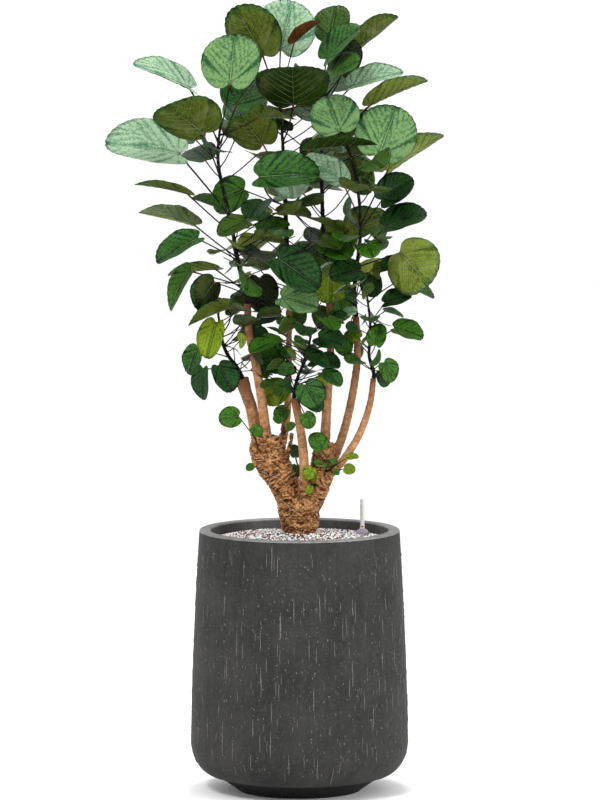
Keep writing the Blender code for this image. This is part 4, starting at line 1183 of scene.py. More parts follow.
class Thicket:
    """Blades and petioles laid so far, which a finer leaf keeps clear of."""

    corners: int = 12
    margin: float = 1.06
    middle: float = 0.47
    reach: float = 0.53
    rise: float = 0.13
    fold: float = 1.7
    droop: float = 0.10
    sag: float = 0.022
    span: float = 0.56

    def __init__(self) -> None:
        """Start empty."""
        self.blades: list[tuple[Vector, float, BVHTree]] = []
        self.stalks: list[tuple[Vector, Vector]] = []

    def plate(self, leaf: Leaf) -> tuple[Vector, float, BVHTree]:
        """Plain cupped plate in a blade's place.

        Args:
            leaf: the blade.

        Returns:
            Its middle, its reach from there and its faces.
        """
        base, midrib, side, normal = frame_of(leaf)
        size = leaf.length * CM * self.margin
        half = 0.5 * leaf.width / leaf.length
        centre = base + size * (self.middle * midrib - self.sag * normal)
        points = [centre]
        for corner in range(self.corners):
            angle = 2 * math.pi * corner / self.corners
            along = self.middle + self.reach * math.cos(angle)
            level = self.rise * abs(math.sin(angle)) ** self.fold - self.droop * along ** 2
            points.append(base + size * (along * midrib + half * math.sin(angle) * side + level * normal))
        faces = [(0, 1 + corner, 1 + (corner + 1) % self.corners) for corner in range(self.corners)]
        return centre, self.span * size, BVHTree.FromPolygons(points, faces)

    @staticmethod
    def crosses(tree: BVHTree, start: Vector, end: Vector) -> bool:
        """Whether a straight stalk goes through a plate."""
        way = end - start
        return tree.ray_cast(start, way.normalized(), way.length)[0] is not None

    def add(self, leaf: Leaf, stalk: list[Vector]) -> None:
        """Lay one leaf with its petiole."""
        self.blades.append(self.plate(leaf))
        self.stalks += list(zip(stalk[:2], stalk[1:]))

    def clear(self, leaf: Leaf, stalk: list[Vector]) -> bool:
        """Whether a leaf and its petiole touch nothing laid so far.

        Args:
            leaf: the leaf.
            stalk: the petiole's points.

        Returns:
            True if there is room.
        """
        centre, reach, tree = self.plate(leaf)
        legs = list(zip(stalk[:2], stalk[1:]))
        for other, span, faces in self.blades:
            if (other - centre).length < reach + span and tree.overlap(faces):
                return False
            if any(self.crosses(faces, start, end) for start, end in legs):
                return False
        return not any(self.crosses(tree, start, end) for start, end in self.stalks)


@dataclass
class Crown:
    """Shoots, petioles and leaves that grow on from the stems by one seeded rule."""

    petiole_ratio: float = 0.8
    petiole_spread: float = 0.45
    petiole_radius: float = 0.0017
    petiole_sunk: float = 0.12
    tip_side: float = 0.68
    blade_thickness: float = 0.026
    petiole_lowest: tuple[float, float] = (1.2, 0.1)
    petiole_highest: tuple[float, float] = (0.3, 0.05)
    petiole_sag: float = 0.05
    petiole_growth: tuple[float, float] = (0.55, 0.04)
    petiole_inside: float = 0.95
    near: float = 0.0004
    gap: float = 0.0003
    shoot_butt: float = 1.15
    shoot_step: float = 0.026
    stem_step: float = 0.021
    sprout_step: float = 0.008
    reach_taper: float = 0.35
    rising: tuple[float, float] = (0.35, 0.9)
    size_by_height: float = 0.35
    heading_jitter: float = 18.0
    lift: tuple[float, float] = (-32.0, 24.0)
    lift_gain: float = 14.0
    roll: float = 35.0
    breadth: tuple[float, float] = (0.86, 1.02)
    knuckle: float = 0.16
    knuckle_turn: float = 1.9
    shoots: dict[str, list[Vector]] = field(default_factory=dict)
    thicket: Thicket = field(default_factory=Thicket)

    def shoot(self, name: str) -> tuple[list[Vector], list[float]]:
        """Axis and radii of the shoot that grows on from a stem, or of a sprout's twig.

        Args:
            name: the stem's or the sprout's name.

        Returns:
            Points and radii.
        """
        if name in SPROUT_TWIGS or name in SPRIG_TWIGS:
            return limb_path({**SPROUT_TWIGS, **SPRIG_TWIGS}[name], self.sprout_step)
        stem = [Vector(point) * CM for point in STEMS[name].points]
        top = STEMS[name].radii[-1] * CM
        path, _ = smooth_path(stem, [1.0] * len(stem), self.stem_step)
        way = (path[-1] - path[-2]).normalized()
        start = path[-1] + way * self.gap
        limb = SHOOTS[name]
        points = [start, start + way * CM] + [Vector(point) * CM for point in limb.points]
        radii = [limb.radii[0] * CM] + [radius * CM for radius in limb.radii]
        radii[0] = min(radii[0] * self.shoot_butt, top)
        return smooth_path(points, radii, self.shoot_step)

    @staticmethod
    def at_height(path: list[Vector], height: float) -> Vector:
        """Point of a rising path at a height.

        Args:
            path: the path.
            height: the height.

        Returns:
            The point, or the path's nearer end.
        """
        for low, high in zip(path, path[1:]):
            if low.z <= height <= high.z:
                return low.lerp(high, (height - low.z) / (high.z - low.z))
        return path[0] if height < path[0].z else path[-1]

    def petiole(self, leaf: Leaf, path: list[Vector]) -> list[Vector]:
        """Points of a petiole, from its shoot to a little way under the midrib.

        Args:
            leaf: the blade that it carries.
            path: the shoot's axis.

        Returns:
            Three points.
        """
        base, midrib, _, _ = frame_of(leaf)
        nearest = self.at_height(path, base.z)
        aside = (Vector((base.x, base.y)) - Vector((nearest.x, nearest.y))).length
        least = self.petiole_ratio * leaf.length * CM
        drop = max(self.petiole_spread * aside, math.sqrt(max(0.0, least ** 2 - aside ** 2)))
        lowest = path[0].z + (self.petiole_lowest[0] + self.petiole_lowest[1] * leaf.length) * CM
        highest = path[-1].z - (self.petiole_highest[0] + self.petiole_highest[1] * leaf.length) * CM
        start = self.at_height(path, min(highest, max(lowest, base.z - drop)))
        middle = (start + base) / 2 + Vector((0.0, 0.0, -self.petiole_sag * (base - start).length))
        return [start, middle, base + midrib * self.petiole_sunk * leaf.length * CM]

    def filling_leaf(self, dice: random.Random, spread: Spread, path: list[Vector], number: int,
                     bearing: float) -> Leaf:
        """One leaf of the rule: leaves follow each other round the shoot by the golden angle.

        Args:
            dice: the shoot's own random numbers.
            spread: how the shoot fills itself.
            path: the shoot's axis.
            number: how many leaves came before.
            bearing: compass bearing of the leaf.

        Returns:
            The leaf.
        """
        share = (number + 0.5) / spread.tries
        node = self.at_height(path, path[0].z + share * (path[-1].z - path[0].z))
        near, far = spread.reach
        reach = near + (far - near) * dice.random() * (1 - self.reach_taper * share)
        rise = dice.uniform(*self.rising) * reach
        least, most = spread.blade
        growth = self.size_by_height * share + (1 - self.size_by_height) * dice.random()
        length = least + (most - least) * growth
        heading = math.radians(bearing + dice.uniform(-self.heading_jitter, self.heading_jitter))
        lift = math.radians(dice.uniform(*self.lift) + self.lift_gain * share)
        level_x, level_y = math.cos(lift) * math.cos(heading), math.cos(lift) * math.sin(heading)
        midrib = Vector((level_x, level_y, math.sin(lift)))
        roll = math.radians(dice.uniform(-self.roll, self.roll))
        level = Vector((-math.sin(heading), math.cos(heading), 0.0))
        normal = Quaternion(midrib, roll) @ midrib.cross(level)
        aim = math.degrees(math.atan2(midrib.z, midrib.x))
        away = math.degrees(math.asin(midrib.y))
        front = (Vector((0.0, -1.0, 0.0)) + midrib.y * midrib).normalized()
        turn = math.degrees(math.acos(max(-1.0, min(1.0, front.dot(normal)))))
        eighth = K.YOUNG if share < 0.4 else K.PALE
        kinds = (K.GREEN, K.DARK, K.OLIVE, K.TEAL, K.GREEN, K.OLIVE, K.DARK, eighth)
        return Leaf(node.x / CM + reach * math.cos(heading), node.y / CM + reach * math.sin(heading),
                    node.z / CM + rise, length, length * dice.uniform(*self.breadth), aim, away, turn,
                    kinds[number * 5 % len(kinds)])

    def stands(self, leaf: Leaf, tree: BVHTree) -> bool:
        """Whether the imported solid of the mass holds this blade.

        Args:
            leaf: the blade.
            tree: faces of the solid.

        Returns:
            True if a rib point of the blade lies on the solid, above and below.
        """
        base, midrib, _, normal = frame_of(leaf)
        size = leaf.length * CM
        centre = base + midrib * self.tip_side * size - normal * 0.10 * self.tip_side ** 2 * size
        lift = normal * 0.5 * self.blade_thickness * size
        return all(tree.find_nearest(centre + way * lift)[3] < self.near for way in (1, -1))

    def leaves_of(self, name: str, order: int) -> list[Leaf]:
        """Leaves that stand on one shoot.

        Args:
            name: the shoot's name.
            order: its place among the shoots that fill themselves, or -1.

        Returns:
            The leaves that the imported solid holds.
        """
        node = name if name.startswith("sprout") else "foliage_" + name
        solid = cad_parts[node].data
        solid.calc_loop_triangles()
        tree = BVHTree.FromPolygons([vertex.co for vertex in solid.vertices],
                                    [tuple(triangle.vertices) for triangle in solid.loop_triangles])
        path = self.shoots[name]
        wanted = list(LEADING[name])
        if order >= 0:
            spread = FILLING[name]
            dice = random.Random(SEED * SHOOT_SEED_STEP + order)
            for number in range(spread.tries):
                bearing = spread.first_bearing + GOLDEN_ANGLE * number
                wanted.append(self.filling_leaf(dice, spread, path, number, bearing))
        return [leaf for leaf in wanted if self.stands(leaf, tree)]

    @staticmethod
    def in_heart(leaf: Leaf) -> bool:
        """Whether a finer leaf lies in the crown's dense heart and leaves its windows open.

        Args:
            leaf: the leaf.

        Returns:
            True if it may stand.
        """
        base, midrib, _, _ = frame_of(leaf)
        middle = (base + midrib * 0.5 * leaf.length * CM) / CM
        heights, lefts, rights = zip(*HEART)
        room = 0.35 * leaf.length
        if not heights[0] < middle.z < heights[-1]:
            return False
        left_edge, right_edge = (np.interp(middle.z, heights, edges) for edges in (lefts, rights))
        inside = left_edge + room < middle.x < right_edge - room
        shut = any(left - room < middle.x < right + room and low - room < middle.z < high + room
                   for left, right, low, high in WINDOWS)
        return bool(inside) and not shut

    def finer_leaves(self, name: str, order: int) -> list[Leaf]:
        """More and smaller leaves of the same rule, where the crown's heart has room.

        Args:
            name: the shoot's name.
            order: its place among the shoots that fill themselves.

        Returns:
            The leaves.
        """
        spread = FINER[name]
        dice = random.Random(SEED * FINER_SEED_STEP + order)
        path = self.shoots[name]
        found = []
        for number in range(spread.tries):
            leaf = self.filling_leaf(dice, spread, path, number, spread.first_bearing + GOLDEN_ANGLE * number)
            hanging = dice.random()
            leaf = replace(leaf, turn=15 + 55 * hanging if number % 3 else 115 + 50 * hanging)
            stalk = self.petiole(leaf, path)
            if self.in_heart(leaf) and self.thicket.clear(leaf, stalk):
                self.thicket.add(leaf, stalk)
                found.append(leaf)
        return found

    def twig_mesh(self, name: str, leaves: list[Leaf]) -> bpy.types.Mesh:
        """Shoot and petioles of one mass, swept by a node tree.

        Args:
            name: the shoot's name.
            leaves: the leaves that it carries.

        Returns:
            The mesh, with the attribute ripe near each blade.
        """
        points, edges, thick, ripe = [], [], [], []

        def lay(path: list[Vector], radii: list[float], ripeness: list[float]) -> None:
            """Add one polyline."""
            first = len(points)
            points.extend(path)
            thick.extend(radii)
            ripe.extend(ripeness)
            edges.extend((first + step, first + step + 1) for step in range(len(path) - 1))

        axis, radii = self.shoot(name)
        fine, sizes = smooth_path(axis, radii, 0.006)
        knuckles = [size * (1 + self.knuckle * max(0.0, math.sin(index * self.knuckle_turn)) ** 3)
                    for index, size in enumerate(sizes)]
        knuckles[-1] *= 0.5
        brown = 0.0 if name in SHOOTS else 0.6
        lay(fine, knuckles, [brown * (1 - index / len(fine)) for index in range(len(fine))])
        for leaf in leaves:
            thin, growth = self.petiole_growth
            radius = self.petiole_radius * (thin + growth * leaf.length) * self.petiole_inside
            path, _ = smooth_path(self.petiole(leaf, self.shoots[name]), [1.0] * 3, 0.007)
            count = len(path) - 1
            shares = [index / count for index in range(count + 1)]
            sizes = [radius * (1.75 - 0.85 * min(1.0, 7 * share) + 1.75 * max(0.0, share - 0.8))
                     for share in shares]
            lay(path, sizes, [max(0.0, (share - 0.90) / 0.10) for share in shares])
        mesh = bpy.data.meshes.new("twig_lines")
        mesh.from_pydata([tuple(point) for point in points], edges, [])
        write_attribute(mesh, "thick", np.array(thick))
        write_attribute(mesh, "ripe", np.array(ripe))
        finish = TwigFinish("twig_dark").build()
        return grown_by_nodes(mesh, self.sweep_tree(), {"Sides": 8, "Finish": finish})

    @staticmethod
    def sweep_tree() -> bpy.types.NodeTree:
        """Node tree that sweeps a round section along edges.

        Returns:
            The tree.
        """
        inputs = {"Sides": ("NodeSocketInt", 8), "Finish": ("NodeSocketMaterial", None)}
        sheet, given, result = node_tree("sweep", inputs)
        curves = sheet.add("GeometryNodeMeshToCurve", {"Mesh": given.outputs["Geometry"]})
        section = sheet.add("GeometryNodeCurvePrimitiveCircle",
                            {"Resolution": given.outputs["Sides"], "Radius": 1.0}, mode="RADIUS")
        swept = sheet.add("GeometryNodeCurveToMesh", {
            "Curve": curves.outputs["Curve"], "Profile Curve": section.outputs["Curve"],
            "Scale": sheet.stored("thick"), "Fill Caps": True})
        sheet.link(sheet.dressed(swept.outputs["Mesh"], given.outputs["Finish"]), result.inputs["Geometry"])
        return sheet.tree

    def leaf_mesh(self, leaves: list[Leaf], dice: random.Random) -> tuple[bpy.types.Mesh, list[LeafKind]]:
        """Blades of one mass, joined.

        Args:
            leaves: the leaves.
            dice: random numbers for what differs from leaf to leaf.

        Returns:
            The mesh and the kinds that it shows. Each kind has three finishes: top, underside, rib.
        """
        kinds = sorted({leaf.kind for leaf in leaves}, key=lambda kind: kind.name)
        points, faces, slots, quilts = [], [], [], []
        count = 0
        for leaf in leaves:
            blade = Blade(leaf, dice)
            first = 3 * kinds.index(leaf.kind)
            verts, corners, sides, quilt = blade.body()
            rib_verts, rib_corners = blade.ribs()
            faces += [tuple(count + index for index in face) for face in corners]
            slots += [first + side for side in sides]
            count += len(verts)
            faces += [tuple(count + index for index in face) for face in rib_corners]
            slots += [first + 2] * len(rib_corners)
            count += len(rib_verts)
            points += [verts, rib_verts]
            quilts += [quilt, np.ones(len(rib_verts))]
        mesh = mesh_from(np.vstack(points), faces)
        mesh.polygons.foreach_set("material_index", np.array(slots, dtype=np.int32))
        write_attribute(mesh, "quilt", np.concatenate(quilts))
        return mesh, kinds

    @staticmethod
    def finishes(kinds: list[LeafKind]) -> list[bpy.types.Material]:
        """Top, underside and rib of each kind.

        Args:
            kinds: kinds of leaf, in order.

        Returns:
            The materials.
        """
        made = []
        for kind in kinds:
            look = kind.value
            name = kind.name.lower()
            # Pale painted sheen patches for each underside.
            painted_sheen = blended(look.under, PAINTED_SHEEN, min(0.32, 0.03 + 2.4 * look.under[1]))
            rib = blended(look.top, RIB, min(0.30, 0.04 + 1.7 * look.top[1]))
            dull = look.roughness + 0.16
            for finish in (LeafFinish(f"leaf_{name}_top", look.top, look.groove_shade, look.roughness),
                           LeafFinish(f"leaf_{name}_under", look.under, look.hollow_shade, dull, 0.06, 0.35,
                                      painted_sheen=painted_sheen),
                           PlainFinish(f"leaf_{name}_rib", rib)):
                made.append(bpy.data.materials.get(finish.name) or finish.build())
        return made

    def build(self) -> None:
        """Grow every mass."""
        for name in [*SHOOTS, *SPROUT_TWIGS, *SPRIG_TWIGS]:
            self.shoots[name] = self.shoot(name)[0]
        order = {name: number for number, name in enumerate(FILLING)}
        grown = {name: list(SPRIGS[name]) if name in SPRIGS else self.leaves_of(name, order.get(name, -1))
                 for name in self.shoots}
        for name, leaves in grown.items():
            for leaf in leaves:
                self.thicket.add(leaf, self.petiole(leaf, self.shoots[name]))
        for name in FINER:
            grown[name] += self.finer_leaves(name, order[name])
        for name, leaves in grown.items():
            nodes = () if name in SPRIGS else (name if name.startswith("sprout") else "foliage_" + name,)
            mesh, kinds = self.leaf_mesh(leaves, random.Random(f"{SEED}{name}"))
            piece("leaves_" + name, mesh, self.finishes(kinds), nodes)
            piece("twigs_" + name, self.twig_mesh(name, leaves), [], nodes)
            log.info("%s: %d leaves", name, len(leaves))


class BarkSample(NamedTuple):
    """What the bark does at a point of a limb's axis; share and run tell how far along the limb it is."""

    point: Vector
    radius: float
    age: float
    share: float
    run: float
    way: Vector


@dataclass
class Wood:
    """Forked trunk, its two stubby heads and the stems, in one barked skin."""

    voxel: float = 0.0018
    sample_step: float = 0.004
    skin_step: float = 0.008
    skin_sides: int = 24
    ridge_turn: float = 30.0
    ridge_pitch: float = 120.0
    flake_turn: float = 75.0
    flake_pitch: float = 230.0
    lump_scale: float = 34.0
    pit_scale: float = 120.0
    pit_width: float = 0.22
    fine_scale: float = 170.0
    drift: float = 0.010
    drift_scale: float = 26.0
    lean: float = 0.12
    foot_height: float = 0.004
    foot_relief: float = 0.001
    young_from: float = 0.45
    rough_height: float = 0.0024
    smooth_height: float = 0.0007
    level: float = 0.5533
    fade: float = 2.4
    fibres: int = 250
    fibre_steps: tuple[int, int] = (6, 20)
    fibre_step: float = 0.0032
    fibre_radii: tuple[float, float] = (0.00035, 0.0009)
    fibre_lift: float = 0.0010
    fibre_peel: float = 0.012

    @staticmethod
    def limbs() -> list[Limb]:
        """Every limb of the skin."""
        return [TRUNK, *HEADS.values(), *STEMS.values(), STUB]

    def samples(self) -> list[BarkSample]:
        """Points along every limb, with what the bark does there.

        Returns:
            The samples, limb by limb.
        """
        found = []
        for limb in self.limbs():
            path, radii = limb_path(limb, self.sample_step)
            run = 0.0
            for index, (point, radius) in enumerate(zip(path, radii)):
                run += (point - path[max(0, index - 1)]).length / CM
                past = run - limb.collar if limb.collar else -self.fade
                age = 1.0 if limb in HEADS.values() else max(0.0, min(1.0, 0.5 - past / self.fade))
                way = (path[min(index + 1, len(path) - 1)] - path[max(0, index - 1)]).normalized()
                found.append(BarkSample(point, radius, age, index / (len(path) - 1), run * CM, way))
        return found

    def skin(self) -> bpy.types.Mesh:
        """The limbs melted into one closed skin.

        Returns:
            The remeshed mesh.
        """
        points, faces = [], []
        for limb in self.limbs():
            join_solid(points, faces, tube(*limb_path(limb, self.skin_step), self.skin_sides))
        carrier = bpy.data.objects.new("wood_carrier", mesh_from(points, faces))
        bpy.context.scene.collection.objects.link(carrier)
        remesh = carrier.modifiers.new("melt", "REMESH")
        remesh.mode = "VOXEL"
        remesh.voxel_size = self.voxel
        evaluated = carrier.evaluated_get(bpy.context.evaluated_depsgraph_get())
        mesh = bpy.data.meshes.new_from_object(evaluated)
        bpy.data.objects.remove(carrier, do_unlink=True)
        return mesh

    def grain(self, spot: Vector, sample: BarkSample) -> tuple[float, float]:
        """Height of the bark at a point, for old and for young wood.

        Args:
            spot: the point.
            sample: the nearest sample of a limb's axis.

        Returns:
            The old wood's ridges, wrapped round the limb, and the young wood's fine grain.
        """
        point, way = sample.point, sample.way
        ahead = (spot - point).dot(way)
        aside = (spot - point) - way * ahead
        level = sample.run + ahead + self.drift * noise.noise(spot * self.drift_scale) + self.lean * aside.x
        turn, pitch = self.ridge_turn, self.ridge_pitch
        wrapped = Vector((aside.x * turn, aside.y * turn, level * pitch)) + point * 6.0
        ridges = 1.0 - 2.2 * abs(noise.fractal(wrapped, 0.9, 2.1, 3))
        turn, pitch = self.flake_turn, self.flake_pitch
        flakes = noise.fractal(Vector((spot.x * turn, spot.y * turn, level * pitch)), 0.7, 2.0, 3)
        lumps = noise.fractal(spot * self.lump_scale, 0.9, 2.1, 3)
        pits = max(0.0, self.pit_width - abs(noise.noise(spot * self.pit_scale))) / self.pit_width
        rough = 0.75 * ridges + 0.45 * flakes + 0.55 * lumps - 0.7 * pits - 0.25
        return rough, 0.8 * noise.fractal(spot * self.fine_scale, 0.8, 2.0, 3) + 0.5 * flakes

    def fibre_mesh(self, bark: bpy.types.Mesh, ages: np.ndarray) -> bpy.types.Mesh:
        """Thin fibres that peel off the old wood, laid on it step by step and swept by a node tree.

        Args:
            bark: the finished bark.
            ages: age of the wood at each of its vertices.

        Returns:
            The mesh.
        """
        dice = random.Random(SEED * FIBRE_SEED_STEP)
        tree = faces_of(bark)
        old = [index for index in np.nonzero(ages > 0.7)[0].tolist()
               if bark.vertices[index].co.z > self.level + 0.01]
        points, edges, thick = [], [], []
        for _ in range(self.fibres):
            vertex = bark.vertices[dice.choice(old)]
            place, normal = vertex.co.copy(), vertex.normal.copy()
            across = normal.cross(Vector((0.0, 0.0, 1.0))).normalized()
            over = normal.cross(across)
            heading = (across * dice.choice((-1, 1)) + over * dice.uniform(-0.9, 0.9)).normalized()
            steps = dice.randint(*self.fibre_steps)
            radius = dice.uniform(*self.fibre_radii)
            first = len(points)
            for step in range(steps):
                peel = self.fibre_lift + self.fibre_peel * max(0.0, step / steps - 0.7) * dice.random()
                points.append(tuple(place + normal * peel))
                thick.append(radius * (1.0 - 0.6 * step / steps))
                heading = (heading + 0.25 * Vector((dice.uniform(-1, 1) for _ in range(3)))).normalized()
                place, normal, _, _ = tree.find_nearest(place + heading * self.fibre_step)
            edges += [(first + step, first + step + 1) for step in range(steps - 1)]
        lines = bpy.data.meshes.new("fibre_lines")
        lines.from_pydata(points, edges, [])
        write_attribute(lines, "thick", np.array(thick))
        tan = PlainFinish("bark_fibre", (0.50, 0.29, 0.14), 0.85, 0.4).build()
        return grown_by_nodes(lines, Crown.sweep_tree(), {"Sides": 5, "Finish": tan})

    @staticmethod
    def lenticel_tree() -> bpy.types.NodeTree:
        """Node tree that sows small dark scars on the young wood.

        Returns:
            The tree.
        """
        sheet, given, result = node_tree("lenticels", {
            "Density": ("NodeSocketFloat", 9000.0), "Oldest": ("NodeSocketFloat", 0.35),
            "Seed": ("NodeSocketInt", SEED), "Finish": ("NodeSocketMaterial", None)})
        young = sheet.compare("LESS_THAN", sheet.stored("age"), given.outputs["Oldest"])
        sown = sheet.add("GeometryNodeDistributePointsOnFaces",
                         {"Mesh": given.outputs["Geometry"], "Selection": young,
                          "Density": given.outputs["Density"], "Seed": given.outputs["Seed"]})
        share = sheet.add("FunctionNodeRandomValue", {"Seed": 3}, data_type="FLOAT")
        skewed = sheet.maths("POWER", share.outputs[1], 2.5)
        size = sheet.add("ShaderNodeMix", {0: skewed, 4: (0.0004, 0.0004, 0.0002),
                                           5: (0.0016, 0.0010, 0.0004)}, data_type="VECTOR")
        dot = sheet.add("GeometryNodeMeshUVSphere", {"Segments": 6, "Rings": 4, "Radius": 1.0})
        laid = sheet.add("GeometryNodeInstanceOnPoints",
                         {"Points": sown.outputs["Points"], "Instance": dot.outputs["Mesh"],
                          "Rotation": sown.outputs["Rotation"], "Scale": size.outputs[1]})
        dressed = sheet.dressed(laid.outputs["Instances"], given.outputs["Finish"])
        sheet.link(dressed, result.inputs["Geometry"])
        return sheet.tree

    def build(self) -> None:
        """Raise the bark on the skin and place it."""
        mesh = self.skin()
        nearest = self.samples()
        finder = KDTree(len(nearest))
        for index, sample in enumerate(nearest):
            finder.insert(sample.point, index)
        finder.balance()
        places = read_points(mesh)
        normals = np.empty(len(mesh.vertices) * 3, dtype=np.float32)
        mesh.vertex_normals.foreach_get("vector", normals)
        normals = normals.reshape(-1, 3)
        relief, ages, youth = (np.zeros(len(places)) for _ in range(3))
        moved = places.copy()
        for index, place in enumerate(places):
            spot = Vector(place)
            weights = [(nearest[found].radius / max(distance, 1e-4), nearest[found])
                       for _, found, distance in finder.find_n(spot, 4)]
            total = sum(weight for weight, _ in weights)
            age = sum(weight * sample.age for weight, sample in weights) / total
            share = sum(weight * sample.share for weight, sample in weights) / total
            rough, fine = self.grain(spot, weights[0][1])
            level = age * self.rough_height * rough + (1 - age) * self.smooth_height * fine
            if place[2] < self.level + self.foot_height:
                level = min(level, self.foot_relief)
            moved[index] = place + normals[index] * level
            # The relief steers the bark's colour: partly painted shade in the cracks and painted highlight on
            # the ridges.
            relief[index] = 0.5 + 0.40 * (age * rough + (1 - age) * fine)
            ages[index] = age
            end = max(0.0, (share - self.young_from) / (1 - self.young_from))
            youth[index] = (1 - age) * end ** 1.5 * 0.8
        moved[:, 2] = np.maximum(moved[:, 2], self.level)
        mesh.vertices.foreach_set("co", moved.ravel())
        mesh.update()
        for name, values in (("relief", relief), ("age", ages), ("youth", youth)):
            write_attribute(mesh, name, np.clip(values, 0.0, 1.0))
        names = ("trunk", *HEADS, *("stem_" + name for name in STEMS))
        scars = PlainFinish("bark_scar", (0.018, 0.010, 0.007), 0.8, 0.4).build()
        sown = grown_by_nodes(mesh.copy(), self.lenticel_tree(), {"Finish": scars})
        fibres = self.fibre_mesh(mesh, ages)
        piece("bark", mesh, [BarkFinish("bark_tan").build()], names)
        piece("bark_lenticels", sown, [])
        piece("bark_fibres", fibres, [])


